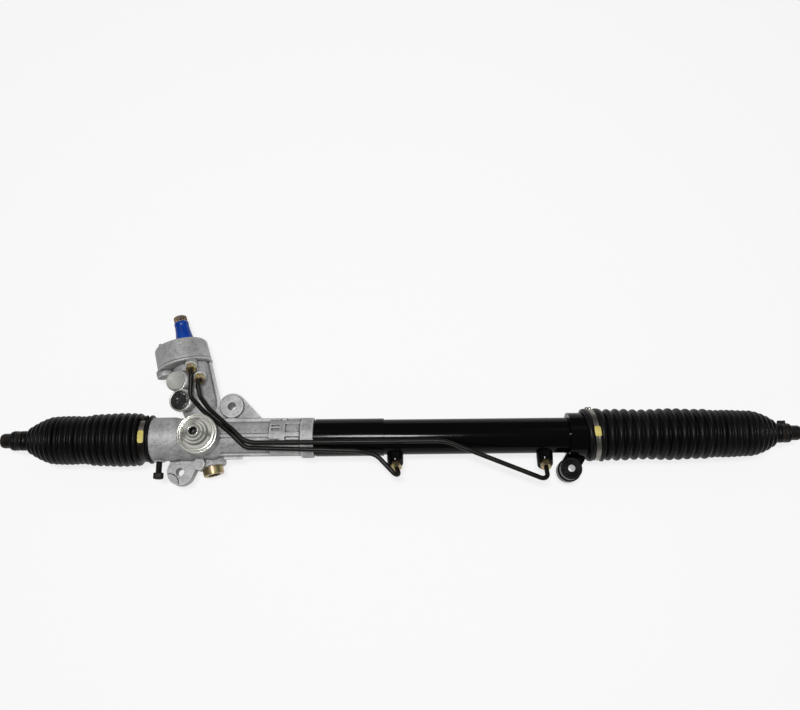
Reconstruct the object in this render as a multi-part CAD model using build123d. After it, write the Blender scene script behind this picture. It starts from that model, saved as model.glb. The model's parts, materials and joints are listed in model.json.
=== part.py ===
from build123d import *
import os
from math import acos, atan, ceil, cos, degrees, floor, pi, radians, sin, sqrt, tan

# Hydraulic power steering rack, modelled about the rack bar's own axis: X runs along the
# bar, Z points out of the yoke plug, and the valve tower rises towards +Y. On export every
# piece is moved so that the origin is the lower housing bolt hole's seating face.
# All sizes are in millimetres.

# ---------------------------------------------------------------- fits
slip = 0.05                     # radial gap of a pressed or seated fit
run = 0.05                      # radial gap of a running fit

# ---------------------------------------------------------------- rack bar and travel
rack_radius = 13.0
rack_left_end = -90.0
rack_right_end = 614.0
travel_right = 22.0
lock_gap = 0.5                  # left between a ball housing and its stop at full lock
rack_clearance = 2.0            # free space round the bar inside the castings

# ---------------------------------------------------------------- rack and pinion teeth
normal_module = 2.1
pinion_teeth = 7
pinion_lean = radians(15)       # lean of the pinion axis, equal to its helix angle
pressure_angle = radians(20)
profile_shift = 0.59
backlash = 0.12
tip_gap = 0.45
teeth_left = -44.0
teeth_right = 134.0
tooth_root = 6.0                # height of the tooth roots below the bar's axis
tooth_depth = 4.0
pinion_face = 32.0
cross_x = 4.0                   # where the pinion axis crosses the bar

roll_radius = pinion_teeth * normal_module / (2 * cos(pinion_lean))
transverse_angle = atan(tan(pressure_angle) / cos(pinion_lean))
base_radius = roll_radius * cos(transverse_angle)
pinion_drop = tooth_root + tooth_depth + roll_radius - (1 - profile_shift) * normal_module
pinion_tip = pinion_drop - tooth_root - tip_gap
pinion_root = roll_radius - (1.25 - profile_shift) * normal_module
rack_pitch = pi * normal_module

# ---------------------------------------------------------------- pinion shaft, along the tower
stub_radius = 6.0
lower_bearing_radius = 12.0
lower_bearing_width = 6.0
lower_bearing_top = -21.0
race_thickness = 1.8
ball_count = 7
pinion_nut_height = 7.0
pinion_nut_across = 17.0
journal_radius = 9.0
needle_radius = 1.25
needle_count = 14
needle_shell_radius = 12.0
needle_start = 19.0
needle_length = 12.0
pinion_seal_radius = 14.0
pinion_seal_start = 32.0
pinion_seal_width = 5.5
flange_start = 38.5
flange_radius = 15.0
flange_height = 4.5
hub_top = 52.0
hub_bore = 6.0

# ---------------------------------------------------------------- rotary valve
valve_bore = 19.0
sleeve_bore = 13.0
sleeve_top = 93.0
sleeve_ring_count = 4
sleeve_ring_width = 2.2
sleeve_ring_depth = 1.6
rotor_start = 52.6
rotor_top = 93.0
input_radius = 8.5
input_bore = 4.2
input_tip_radius = 8.3
torsion_radius = 3.5
torsion_start = 24.0
pin_radius = 1.5
lower_pin_height = 28.0
upper_pin_height = 163.0
torsion_end = upper_pin_height + 8
top_bearing_start = 94.5
top_bearing_width = 8.0
top_seal_start = 104.0
top_seal_width = 6.0
circlip_width = 1.5
circlip_depth = 1.2

# ---------------------------------------------------------------- shaft guard
guard_start = 118.0
guard_end = torsion_end - 1
input_end = torsion_end + 8
guard_base_radius = 10.6
guard_top_radius = 9.2

# ---------------------------------------------------------------- valve tower casting
tower_radius = 24.0
tower_foot_radius = 21.5
tower_foot_end = 52.0
tower_start = 4.0
cup_base = 105.0
cup_top = 137.5
cup_radius = 36.0
cup_shift = -7.0                # the cup's centre beside the tower axis
cup_wall = 3.6
cup_floor = 4.0
collar_radius = 23.5
collar_top = 115.0
lip_height = 2.6
lip_out = 0.9
fin_out = 28.8
fin_thickness = 4.0
fin_low = 40.0
fin_root = 18.5
lug_radius = 11.0
lug_offset = -34.0
lug_low = 98.0
nib_turn = 45                   # degrees from the cup's left side towards its front

# ---------------------------------------------------------------- ports on the tower
port_tilt = radians(28)         # turn of the two hose ports away from the front
return_height = 82.0
pressure_height = 55.0
port_face = 34.0
port_bore = 8.0
port_depth = 11.0
return_boss_radius = 13.4
pressure_boss_radius = 14.6
plug_head_height = 3.0
return_plug_radius = 12.6
pressure_plug_radius = 12.2
plug_socket_across = 10.0

nut_tilt = radians(45)          # tilt of the pipe nuts from the tower axis
nut_a_height, nut_a_offset = 94.0, 6.4
nut_b_height, nut_b_offset = 77.3, 14.6
nut_reach_a = 34.0              # distance of nut A's boss face in front of the tower axis
nut_reach_b = 33.0
nut_boss_radius = 8.2
nut_boss_length = 16.0
nut_bore = 5.2
nut_thread_length = 7.0
nut_across = 12.0
nut_hex_length = 8.0

# ---------------------------------------------------------------- pinion boss and bottom plug
pinion_boss_radius = 20.5
pinion_boss_tip = 18.8          # its radius at the lower end, less the draft
pinion_boss_end = -36.5
bottom_plug_thread = 13.0
bottom_plug_depth = 8.0
bottom_plug_head = 13.4
bottom_plug_height = 10.0
bottom_plug_recess = 8.0
nut_room_radius = 10.6          # hollow in the plug for the pinion nut
nut_room_depth = 8.0
spot_gap = 0.6                  # room machined round the plug's head

# ---------------------------------------------------------------- rack barrel casting
neck_left = -84.0
neck_bore = 21.0
boot_seat_radius = 23.3
boot_seat_end = -61.0
neck_radius = 28.3
neck_end = -32.0
waist_radius = 27.0
waist_end = 26.0
barrel_radius = 20.8
rib_height = 2.0
rib_width = 4.0
rail_height = 25.4              # top of the rail along the barrel's upper side
rail_low = -22.8                # and the foot of the one along its lower side
rail_width = 13.0
barrel_end = 148.0
end_collar_start = 132.0
end_collar_radius = 26.0
tube_socket_depth = 12.0
band_start = 91.5               # a raised band with pockets, beside the tube socket
band_height = 2.2
top_ring = (106.0, 112.0)       # a ring that crosses the rail
pocket_corner = 1.6
band_pockets = (                # left, right, lower and upper edge of each
    (94.0, 105.0, 6.2, 10.0), (94.0, 105.0, 11.6, 14.8),
    (111.5, 131.0, 3.8, 16.0), (111.5, 131.0, -6.8, -1.8), (91.0, 105.0, -9.0, -5.0),
)

# ---------------------------------------------------------------- yoke
yoke_x = 4.0
yoke_radius = 19.0
yoke_boss_radius = 25.0
yoke_boss_face = 40.0
yoke_thread_radius = 20.6
yoke_thread_depth = 8.0
yoke_foot = 4.0
yoke_play = 0.1
liner_thickness = 0.9
liner_half_angle = 58.0
liner_length = 30.0
spring_radius = 6.6
spring_wire = 1.3
spring_turns = 3
spring_pocket_radius = 8.6
spring_pocket_depth = 13.0
yoke_plug_foot = 45.0           # height of the cone's foot
yoke_plug_face = 61.0
yoke_nose_radius = 7.2
yoke_nose_height = 2.6
yoke_socket_across = 8.6
yoke_socket_depth = 12.0
locknut_radius = 24.3
locknut_height = 3.6

# ---------------------------------------------------------------- bolting ears
seat_z = -22.0                  # the plane of the crossmember that the rack bolts to
bolt_hole_radius = 5.25
lower_ear = (-26.0, -42.0)
lower_ear_radius = 17.0
lower_ear_front = -4.0
ear_step_radius = 14.0
ear_step_depth = 2.0
lower_ear_root = (-14.0, -13.0, 18.0)   # centre and radius where it leaves the barrel
upper_ear = (39.8, 41.4)
upper_ear_radius = 15.0
upper_ear_front = 8.0
gusset_front = 3.0
gusset_back = -15.0
gusset_round = 18.4
gusset_left = 13.0
gusset_right = 80.0
small_boss = (0.3, -33.4)
small_boss_radius = 7.6
small_boss_front = 6.0
flash_strip = (32.0, 55.0, 27.2)   # left end, right end and reach of the strip below the barrel

# ---------------------------------------------------------------- centring screw
screw_x = -52.0
screw_radius = 4.0
screw_boss_radius = 7.5
screw_boss_end = -29.6
screw_head_top = -43.4
screw_head_radius = 6.5
screw_head_height = 8.0
screw_tip = -18.0
screw_socket_across = 6.0
screw_socket_depth = 4.5

# ---------------------------------------------------------------- cylinder
tube_radius = 22.9
tube_bore = 20.0
tube_end = 521.0
sleeve_left = 150.0
sleeve_port_gap = 3.8           # from the sleeve's end to the left port
sleeve_thickness = 1.35
inner_head_left = 160.0
inner_head_length = 22.0
outer_head_left = 468.0
outer_head_length = 31.0
head_bore_gap = 0.6
seal_width = 8.0
seal_pocket_radius = 18.0
bush_length = 15.0
bush_thickness = 2.4
piston_x = 396.0
piston_width = 18.0
piston_radius = 19.6
piston_ring_width = 4.0
piston_ring_depth = 2.2
piston_clip_height = 1.5
piston_clip_depth = 1.0
piston_clip_width = 1.4

# ---------------------------------------------------------------- fluid ports on the cylinder
left_port_x = 252.4
right_port_x = 445.4
port_root_radius = 10.6
port_tip_radius = 9.6
port_reach = 43.0
port_nut_tilt = radians(30)     # turn of its nut towards the front
left_port_lean = radians(16)    # and of the left one's to the right
port_nut_low = 35.5             # the nut face's centre below the bar's axis
port_nut_front = 3.0            # and in front of it
fluid_hole_radius = 2.5

# ---------------------------------------------------------------- right-hand bracket
bracket_left = 476.0
bracket_right = 498.0
bracket_ring_radius = 29.0
bracket_eye = (477.8, -44.1)
bracket_eye_radius = 15.4
bracket_front = 8.0
eye_step = -8.0                 # height where the eye steps in
web_front = -1.0
web_back = -13.0
eye_bore = 12.2
bush_sleeve_radius = 7.6
bush_lip_radius = 13.2
bush_lip_height = 1.6

# ---------------------------------------------------------------- inner ball joints and tie rods
ball_depth = 26.0               # ball centre beyond the end of the rack bar
ball_radius = 11.0
liner_radius = 13.1
cavity_gap = 0.1
ball_housing_radius = 18.5
ball_housing_length = 40.0
lip_radius = 11.6
mouth_radius = 15.6
link_stud_radius = 8.0
link_stud_length = 20.0
liner_edge = radians(72)
tie_neck_radius = 6.0
tie_neck_length = 22.0
tie_radius = 7.0
left_stub_start = -245.0
left_tip = -258.6
right_stub_start = 764.5
right_tip = 779.0
stub_radius_end = 9.6
stub_round = 4.0
tie_thread_radius = 5.3
tie_thread_depth = 24.0

# ---------------------------------------------------------------- bellows
boot_wall = 2.0
boot_bore = 22.0
left_cuff = (-85.0, -61.3)
left_big_count = 8
left_small_count = 7
left_big_folds = (34.0, 29.0)   # crest and valley radius
left_small_folds = (30.5, 25.5)
left_small_start = -145.6
left_taper_start = -195.0
left_taper_end = -226.0
left_hem = -244.0
right_cuff = (499.0, 522.0)
right_big_count = 12
right_small_count = 7
right_big_folds = (33.0, 28.0)
right_small_folds = (31.0, 27.0)
right_small_start = 655.0
right_taper_start = 718.5
right_taper_end = 746.5
right_hem = 764.0
taper_crests = 4
taper_ridge = 1.6
hem_radius = 11.6

# ---------------------------------------------------------------- clamps
big_clamp_width = 12.0
small_clamp_width = 9.0
band_thickness = 1.1
ear_height = 4.0
ear_width = 7.0
left_clamp_x = -68.8
right_clamp_x = 509.5
left_hem_inset = 10.0           # from a boot's hem to the middle of its clamp
right_hem_inset = 8.0

# ---------------------------------------------------------------- pipes
pipe_radius = 3.0
pipe_pull_back = 3.0            # depth of a pipe's end inside its nut
short_pipe_route = (
    (-6.0, 51.0, 21.0), (10.1, 33.9, 23.5), (32.6, 12.6, 30.0), (47.8, -3.0, 29.0), (63.0, -17.8, 24.2),
    (205.0, -22.2, 22.2), (228.3, -25.6, 18.0),
)
short_pipe_bends = (10.0, 16.0, 40.0, 30.0, 16.0, 16.0, 30.0, 20.0, 5.4)
short_pipe_drop = 29.0          # its last corner, along the nut's line
long_pipe_route = (
    (6.7, 50.7, 23.0), (19.0, 35.0, 25.0), (44.2, 10.0, 30.0), (59.0, -6.0, 29.6), (71.7, -10.4, 28.2),
    (316.0, -10.4, 28.2),
)
long_pipe_bends = (10.0, 16.0, 40.0, 30.0, 20.0, 30.0, 60.0, 8.0)
long_pipe_drop = 29.0

# ---------------------------------------------------------------- planes and axes
tower_axis = Vector(-sin(pinion_lean), cos(pinion_lean), 0)
rack_line = Plane(origin=(0, 0, 0), x_dir=(0, 1, 0), z_dir=(1, 0, 0))
tower_line = Plane(origin=(cross_x, 0, -pinion_drop), x_dir=(0, 0, 1), z_dir=tower_axis)
cup_line = tower_line * Pos(0, cup_shift, 0)
yoke_line = Plane(origin=(yoke_x, 0, 0), x_dir=(1, 0, 0), z_dir=(0, 0, 1))


def rod(line, radius, start, end):
    """A cylinder on a line, between two stations."""
    return line * Pos(0, 0, (start + end) / 2) * Cylinder(radius, abs(end - start))


def ring(line, inner, outer, start, end):
    """A tube on a line, between two stations."""
    return rod(line, outer, start, end) - rod(line, inner, start - 1, end + 1)


def group(pieces):
    """Several separate solids as one node."""
    return Part() + pieces


def lathe(line, profile):
    """A solid turned about a line from (radius, station) points."""
    outline = make_face(Polyline(*profile, close=True))
    return line * revolve(Plane.XZ * outline, Axis.Z)


def hexagon(line, across, start, end):
    """A hexagonal bar on a line, given its size across the flats."""
    section = RegularPolygon(across / 2, 6, major_radius=False)
    return line * Pos(0, 0, min(start, end)) * extrude(section, abs(end - start))


def upright(x, y):
    """A line parallel to Z through a point of the rack's plane."""
    return Plane(origin=(x, y, 0), x_dir=(1, 0, 0), z_dir=(0, 0, 1))


def slab(outline, back, front):
    """A plate parallel to the rack's plane, between two heights."""
    return Pos(0, 0, back) * extrude(outline, front - back)


def hull(*shapes):
    """The tight outline round several flat shapes."""
    return make_hull([edge for shape in shapes for edge in shape.edges()])


def disc(x, y, radius):
    return Pos(x, y) * Circle(radius)


def on_tower(height, offset, reach):
    """A point at a height along the tower, to its right and in front of its axis."""
    return tower_line.from_local_coords((reach, offset, height))


def port_line(height):
    """The line of a hose port, pointing out of the tower."""
    out = tower_line.from_local_coords((cos(port_tilt), -sin(port_tilt), height))
    start = tower_line.from_local_coords((0, 0, height))
    return Plane(origin=start, x_dir=tower_axis, z_dir=(out - start))


def nut_line(height, offset, reach):
    """The line of a pipe nut: it starts on the boss face and points out and down."""
    start = on_tower(height, offset, reach)
    out = Vector(0, 0, 1) * sin(nut_tilt) - tower_axis * cos(nut_tilt)
    return Plane(origin=start, x_dir=(cos(pinion_lean), sin(pinion_lean), 0), z_dir=out)


def cylinder_port_line(x):
    """The line of a fluid port below the cylinder, pointing down."""
    return Plane(origin=(x, 0, 0), x_dir=(1, 0, 0), z_dir=(0, -1, 0))


def port_nut_line(x, lean):
    """The line of a cylinder port's nut, pointing down, to the front and a little to the right."""
    out = Vector(sin(lean), -cos(lean) * cos(port_nut_tilt), cos(lean) * sin(port_nut_tilt))
    side = Vector(cos(lean), sin(lean) * cos(port_nut_tilt), -sin(lean) * sin(port_nut_tilt))
    return Plane(origin=(x, -port_nut_low, port_nut_front), x_dir=side, z_dir=out)


def screw_line():
    return Plane(origin=(screw_x, 0, 0), x_dir=(1, 0, 0), z_dir=(0, 1, 0))


return_port = port_line(return_height)
pressure_port = port_line(pressure_height)
nut_a = nut_line(nut_a_height, nut_a_offset, nut_reach_a)
nut_b = nut_line(nut_b_height, nut_b_offset, nut_reach_b)
left_port = cylinder_port_line(left_port_x)
right_port = cylinder_port_line(right_port_x)
left_port_nut = port_nut_line(left_port_x, left_port_lean)
right_port_nut = port_nut_line(right_port_x, 0)

neck_stop = rack_left_end + travel_right + lock_gap
sleeve_right = left_port_x - port_root_radius - sleeve_port_gap
tube_start = barrel_end - tube_socket_depth
plug_bottom = yoke_boss_face - yoke_thread_depth
saddle_radius = rack_radius + run + liner_thickness + slip


# ================================================================ housing casting
def barrel():
    """The turned body round the rack bar, from the boot seat to the tube socket."""
    return lathe(rack_line, [
        (0, neck_left), (boot_seat_radius - 1, neck_left), (boot_seat_radius, neck_left + 1.5),
        (boot_seat_radius, boot_seat_end), (neck_radius - 1, boot_seat_end),
        (neck_radius, boot_seat_end + 1), (neck_radius, neck_end),
        (waist_radius, neck_end + 5), (waist_radius, waist_end - 8), (barrel_radius, waist_end + 4),
        (barrel_radius, end_collar_start - 2), (end_collar_radius, end_collar_start),
        (end_collar_radius, barrel_end - 1), (end_collar_radius - 1, barrel_end), (0, barrel_end),
    ])


def pocket_cutters():
    """The rounded pockets in the front of the band, down to the barrel's own skin."""
    cutters = Part()
    for left, right, low, high in band_pockets:
        outline = RectangleRounded(right - left, high - low, pocket_corner)
        cutters += slab(Pos((left + right) / 2, (low + high) / 2) * outline, 0, 2 * barrel_radius)
    return cutters - rod(rack_line, barrel_radius, band_start - 5, barrel_end)


def barrel_ribs():
    """The rails, the front rib, the pocketed band and the parting strip on the barrel."""
    start, end = waist_end - 12, end_collar_start + 1
    band = ring(rack_line, barrel_radius - 1, barrel_radius + band_height, band_start, end)
    ribs = band - pocket_cutters()
    ribs += ring(rack_line, barrel_radius - 1, rail_height + 0.5, *top_ring) & Pos(
        sum(top_ring) / 2, rail_height, 0) * Box(20, 12, rail_width + 6)
    ribs += Pos((start + end) / 2, rail_height / 2, 0) * Box(end - start, rail_height, rail_width)
    ribs += Pos((start + end) / 2, rail_low / 2, 0) * Box(end - start, -rail_low, rail_width)
    reach = barrel_radius + rib_height
    ribs += Pos((start + band_start) / 2, 0, reach / 2) * Box(band_start - start + 2, rib_width, reach)
    left, right, bottom = flash_strip
    ribs += Pos((left + right) / 2, -bottom / 2, 0) * Box(right - left, bottom, rib_width)
    return ribs


def cup():
    """The open cup round the top of the tower, set beside its axis, with the lip below it."""
    lip = cup_radius + lip_out
    inner = cup_radius - cup_wall
    return lathe(cup_line, [
        (0, cup_base), (lip - 1.9, cup_base), (lip, cup_base + 1), (lip, cup_base + lip_height),
        (cup_radius - 0.6, cup_base + lip_height + 0.8), (cup_radius, cup_base + lip_height + 3),
        (cup_radius - 0.8, cup_top - 3), (cup_radius - 2.4, cup_top - 0.6), (cup_radius - 3, cup_top),
        (inner, cup_top), (inner, cup_base + cup_floor + 2), (inner - 2, cup_base + cup_floor),
        (0, cup_base + cup_floor),
    ])


def tower():
    """The valve tower with its cup, collar, side fin and lug."""
    body = lathe(tower_line, [
        (0, tower_start), (tower_foot_radius, tower_start), (tower_foot_radius, tower_foot_end - 14),
        (tower_radius, tower_foot_end), (tower_radius, cup_base + 3), (0, cup_base + 3),
    ])
    body += cup()
    body += lathe(tower_line, [
        (0, cup_base), (collar_radius, cup_base), (collar_radius, collar_top - 1),
        (collar_radius - 1, collar_top), (0, collar_top),
    ])
    fin = make_face(Polyline((fin_root, fin_low), (fin_out - 4, fin_low), (fin_out, fin_low + 6),
                             (fin_out, cup_base + 1), (fin_root, cup_base + 1), close=True))
    body += tower_line * Pos(-fin_thickness / 2, 0, 0) * (Plane.YZ * extrude(fin, fin_thickness))
    lug_line = Plane(origin=on_tower(0, lug_offset, 6), x_dir=(0, 0, 1), z_dir=tower_axis)
    body += rod(lug_line, lug_radius, lug_low, cup_base + 2)
    nib = cup_line * Rot(0, 0, nib_turn) * Pos(0, -(cup_radius - 4.8), cup_top) * Box(4, 3.4, 5)
    return body + nib


def tower_ports():
    """Bosses for the two hose ports and the two pipe nuts."""
    bosses = rod(return_port, return_boss_radius, 12, port_face)
    bosses += rod(pressure_port, pressure_boss_radius, 12, port_face)
    bosses += rod(nut_a, nut_boss_radius, -nut_boss_length, 0)
    bosses += rod(nut_b, nut_boss_radius, -nut_boss_length, 0)
    return bosses


def ears():
    """The two bolting ears, the gusset beside the upper one and the small round boss."""
    x, y = lower_ear
    root_x, root_y, root_radius = lower_ear_root
    outline = hull(disc(x, y, lower_ear_radius), disc(root_x, root_y, root_radius))
    lower = slab(outline, seat_z, lower_ear_front)
    step = Pos(x - 14, y - 15, lower_ear_front - ear_step_depth) * Cylinder(
        ear_step_radius, 2 * ear_step_depth, align=(Align.CENTER, Align.CENTER, Align.MIN))
    lower -= step
    x, y = upper_ear
    upper = slab(disc(x, y, upper_ear_radius), seat_z, upper_ear_front)
    foot = Rectangle(gusset_right - gusset_left, rail_height)
    foot = Pos((gusset_left + gusset_right) / 2, rail_height / 2) * foot
    upper += slab(hull(disc(x, y, gusset_round), foot), gusset_back, gusset_front)
    boss = rod(upright(*small_boss), small_boss_radius, -pinion_drop, small_boss_front)
    return lower + upper + boss


def pinion_boss():
    """The drafted boss round the lower bearing."""
    return lathe(tower_line, [
        (0, tower_start), (pinion_boss_radius, tower_start), (pinion_boss_tip, pinion_boss_end + 1.5),
        (pinion_boss_tip - 1.5, pinion_boss_end), (0, pinion_boss_end),
    ])


def casting_bores():
    """Everything that is machined out of the casting."""
    cuts = rod(rack_line, neck_bore, neck_left - 1, neck_stop)
    cuts += rod(rack_line, rack_radius + rack_clearance, neck_stop - 1, barrel_end + 1)
    cuts += rod(rack_line, tube_radius + slip, tube_start, barrel_end + 1)
    cuts += rod(tower_line, lower_bearing_radius + slip, pinion_boss_end - 1, needle_start)
    cuts += rod(tower_line, bottom_plug_thread, pinion_boss_end - 1, pinion_boss_end + bottom_plug_depth)
    plug_end = pinion_boss_end - 2 * bottom_plug_height
    cuts += rod(tower_line, bottom_plug_head + spot_gap, plug_end, pinion_boss_end)
    cuts += rod(tower_line, needle_shell_radius + slip, needle_start - 1, pinion_seal_start)
    cuts += rod(tower_line, pinion_seal_radius, pinion_seal_start, flange_start)
    cuts += rod(tower_line, valve_bore, flange_start - 0.5, collar_top + 1)
    clip = top_seal_start + top_seal_width
    cuts += rod(tower_line, valve_bore + circlip_depth, clip, clip + circlip_width)
    cuts += rod(yoke_line, yoke_radius, 0, yoke_boss_face + 1)
    cuts += rod(yoke_line, yoke_thread_radius, plug_bottom, yoke_boss_face + 1)
    for line in (return_port, pressure_port):
        cuts += rod(line, port_bore, port_face - port_depth, port_face + 1)
        cuts += rod(line, fluid_hole_radius, 10, port_face)
    for line in (nut_a, nut_b):
        cuts += rod(line, nut_bore, -nut_thread_length, 1)
        cuts += rod(line, nut_boss_radius, 0, nut_hex_length + 2)
        cuts += rod(line, fluid_hole_radius, -nut_boss_length - 4, 0)
    for place in (lower_ear, upper_ear):
        cuts += rod(upright(*place), bolt_hole_radius, seat_z - 1, upper_ear_front + 1)
    cuts += rod(screw_line(), screw_radius + slip, screw_boss_end - 1, screw_tip + 1)
    return cuts


def rack_housing():
    body = barrel() + barrel_ribs()
    body += rod(yoke_line, yoke_boss_radius, 0, yoke_boss_face - 1.5)
    body += ring(yoke_line, yoke_radius, yoke_boss_radius - 1, yoke_boss_face - 1.6, yoke_boss_face)
    body += tower() + tower_ports()
    body += pinion_boss()
    body += rod(screw_line(), screw_boss_radius, screw_boss_end, -12)
    body += ears()
    body -= casting_bores()
    return body.solids().sort_by(SortBy.VOLUME)[-1]


# ================================================================ pinion and rotary valve
def flank_half_angle(radius):
    """Half the angle that a pinion tooth spans at a radius."""
    thickness = normal_module * (pi / 2 + 2 * profile_shift * tan(pressure_angle)) / cos(pinion_lean)
    roll = tan(transverse_angle) - transverse_angle
    local = acos(min(1.0, base_radius / radius))
    return (thickness - backlash) / (2 * roll_radius) + roll - (tan(local) - local)


def polar(radius, angle):
    return radius * cos(angle), radius * sin(angle)


def pinion_section():
    """The pinion's outline across its axis, with one tooth pointing along local X."""
    steps = 5
    radii = [base_radius + (pinion_tip - base_radius) * n / steps for n in range(steps + 1)]
    base_half = flank_half_angle(base_radius)
    pitch = 2 * pi / pinion_teeth
    edges = []
    for n in range(pinion_teeth):
        turn = n * pitch
        rise = [polar(r, turn - flank_half_angle(r)) for r in radii]
        fall = [polar(r, turn + flank_half_angle(r)) for r in reversed(radii)]
        root_in = polar(pinion_root, turn - base_half)
        root_out = polar(pinion_root, turn + base_half)
        next_root = polar(pinion_root, turn + pitch - base_half)
        edges += [Line(root_in, rise[0]), Spline(*rise),
                  ThreePointArc(rise[-1], polar(pinion_tip, turn), fall[0]),
                  Spline(*fall), Line(fall[-1], root_out),
                  ThreePointArc(root_out, polar(pinion_root, turn + pitch / 2), next_root)]
    return Face(Wire(edges))


def pinion_teeth_solid():
    """The toothed length: the outline carried along a helix."""
    twist = degrees(tan(pinion_lean) / roll_radius * pinion_face)
    section = Rot(0, 0, -twist / 2) * pinion_section()
    toothed = Solid.extrude_linear_with_rotation(section, (0, 0, 0), (0, 0, pinion_face), twist)
    return tower_line * Pos(0, 0, -pinion_face / 2) * toothed


def pinion():
    low, high = -pinion_face / 2, pinion_face / 2
    shoulder = lower_bearing_top
    body = pinion_teeth_solid()
    body += rod(tower_line, pinion_root + 1.2, shoulder, low)
    body += rod(tower_line, stub_radius, shoulder - lower_bearing_width - pinion_nut_height - 1.5, shoulder)
    body += rod(tower_line, journal_radius, high, flange_start)
    body += rod(tower_line, flange_radius, flange_start, flange_start + flange_height)
    body += rod(tower_line, sleeve_bore - slip, flange_start + flange_height, hub_top)
    body -= rod(tower_line, hub_bore + run, flange_start + 6, hub_top + 1)
    body -= rod(tower_line, torsion_radius + slip, torsion_start - 1, hub_top)
    body -= cross_pin(lower_pin_height, journal_radius, pin_radius + slip)
    return body


def cross_pin(height, reach, radius):
    """A pin straight across the tower axis."""
    line = Plane(origin=on_tower(height, 0, 0), x_dir=tower_axis, z_dir=(0, 0, 1))
    return rod(line, radius, -reach, reach)


def torsion_bar():
    waist = torsion_radius - 0.9
    bar = lathe(tower_line, [
        (0, torsion_start), (torsion_radius, torsion_start), (torsion_radius, torsion_start + 14),
        (waist, torsion_start + 20), (waist, upper_pin_height - 16), (torsion_radius, upper_pin_height - 10),
        (torsion_radius, torsion_end), (0, torsion_end),
    ])
    bar -= cross_pin(lower_pin_height, journal_radius, pin_radius + slip)
    return bar - cross_pin(upper_pin_height, input_radius, pin_radius + slip)


def lower_pin():
    return cross_pin(lower_pin_height, journal_radius - 0.3, pin_radius)


def upper_pin():
    return cross_pin(upper_pin_height, input_radius - 0.6, pin_radius)


def input_shaft():
    """The hollow upper shaft, with the slotted rotor at its foot."""
    shaft = lathe(tower_line, [
        (0, flange_start + 8), (hub_bore, flange_start + 8), (hub_bore, rotor_start),
        (sleeve_bore - run, rotor_start), (sleeve_bore - run, rotor_top), (input_radius, rotor_top),
        (input_radius, guard_end), (input_tip_radius, guard_end), (input_tip_radius, input_end - 1),
        (input_tip_radius - 1, input_end), (0, input_end),
    ])
    shaft -= rod(tower_line, input_bore, flange_start + 7, torsion_end + 1)
    for n in range(6):
        groove = Rot(0, 0, 60 * n) * Pos(sleeve_bore, 0, (rotor_start + rotor_top) / 2) * Box(2.4, 3.2, 24)
        shaft -= tower_line * groove
    return shaft - cross_pin(upper_pin_height, input_radius + 1, pin_radius + slip)


def ring_places():
    """Heights of the seal rings that part the valve sleeve's oil passages."""
    low = flange_start + flange_height + 4
    step = (sleeve_top - 4 - sleeve_ring_width - low) / (sleeve_ring_count - 1)
    return [low + n * step for n in range(sleeve_ring_count)]


def valve_sleeve():
    sleeve = ring(tower_line, sleeve_bore, valve_bore - run, flange_start + flange_height, sleeve_top)
    places = ring_places()
    for place in places:
        sleeve -= ring(tower_line, valve_bore - sleeve_ring_depth, valve_bore + 1, place, place + sleeve_ring_width)
    step = places[1] - places[0]
    for place in places[:-1]:
        middle = place + (step + sleeve_ring_width) / 2
        sleeve -= ring(tower_line, valve_bore - 1.4, valve_bore + 1, middle - 2.5, middle + 2.5)
        for n in range(3):
            line = Plane(origin=on_tower(middle, 0, 0), x_dir=tower_axis, z_dir=(0, 0, 1))
            hole = Rot(120 * n + 20, 0, 0) * Pos(0, 0, valve_bore / 2 + 5) * Cylinder(1.5, valve_bore)
            sleeve -= line * hole
    return sleeve


def sleeve_rings():
    inner, outer = valve_bore - sleeve_ring_depth + slip, valve_bore - run / 2
    gap = 0.1
    return group([ring(tower_line, inner, outer, place + gap, place + sleeve_ring_width - gap)
                  for place in ring_places()])


def lower_bearing_outer():
    """The outer race, with the ball groove turned into it."""
    low, high = lower_bearing_top - lower_bearing_width, lower_bearing_top
    race = ring(tower_line, lower_bearing_radius - race_thickness, lower_bearing_radius, low, high)
    return race - ball_track()


def ball_track():
    pitch, ball = bearing_pitch()
    middle = lower_bearing_top - lower_bearing_width / 2
    groove = Plane.XZ * (Pos(pitch, middle) * Circle(ball + 0.03))
    return tower_line * revolve(groove, Axis.Z)


def bearing_pitch():
    """The pitch radius of the balls and their own radius."""
    pitch = (lower_bearing_radius + stub_radius) / 2
    return pitch, (lower_bearing_radius - stub_radius) / 2 - race_thickness + 0.5


def lower_bearing_inner():
    low, high = lower_bearing_top - lower_bearing_width, lower_bearing_top
    race = ring(tower_line, stub_radius + slip, stub_radius + race_thickness, low, high)
    return race - ball_track()


def lower_bearing_balls():
    pitch, ball = bearing_pitch()
    middle = lower_bearing_top - lower_bearing_width / 2
    balls = []
    for n in range(ball_count):
        x, y = polar(pitch, 2 * pi * n / ball_count)
        balls.append(tower_line * Pos(x, y, middle) * Sphere(ball))
    return group(balls)


def pinion_nut():
    top = lower_bearing_top - lower_bearing_width
    nut = hexagon(tower_line, pinion_nut_across, top - pinion_nut_height, top)
    return nut - rod(tower_line, stub_radius + slip, top - pinion_nut_height - 1, top + 1)


def needle_shell():
    shell = ring(tower_line, journal_radius + 2 * needle_radius + 0.15, needle_shell_radius,
                 needle_start, needle_start + needle_length)
    return shell


def needles():
    rollers = []
    for n in range(needle_count):
        x, y = polar(journal_radius + needle_radius + 0.06, 2 * pi * n / needle_count)
        line = tower_line * Pos(x, y, needle_start + needle_length / 2)
        rollers.append(line * Cylinder(needle_radius, needle_length - 1.5))
    return group(rollers)


def pinion_seal():
    return ring(tower_line, journal_radius + run, pinion_seal_radius - slip,
                pinion_seal_start, pinion_seal_start + pinion_seal_width)


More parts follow.
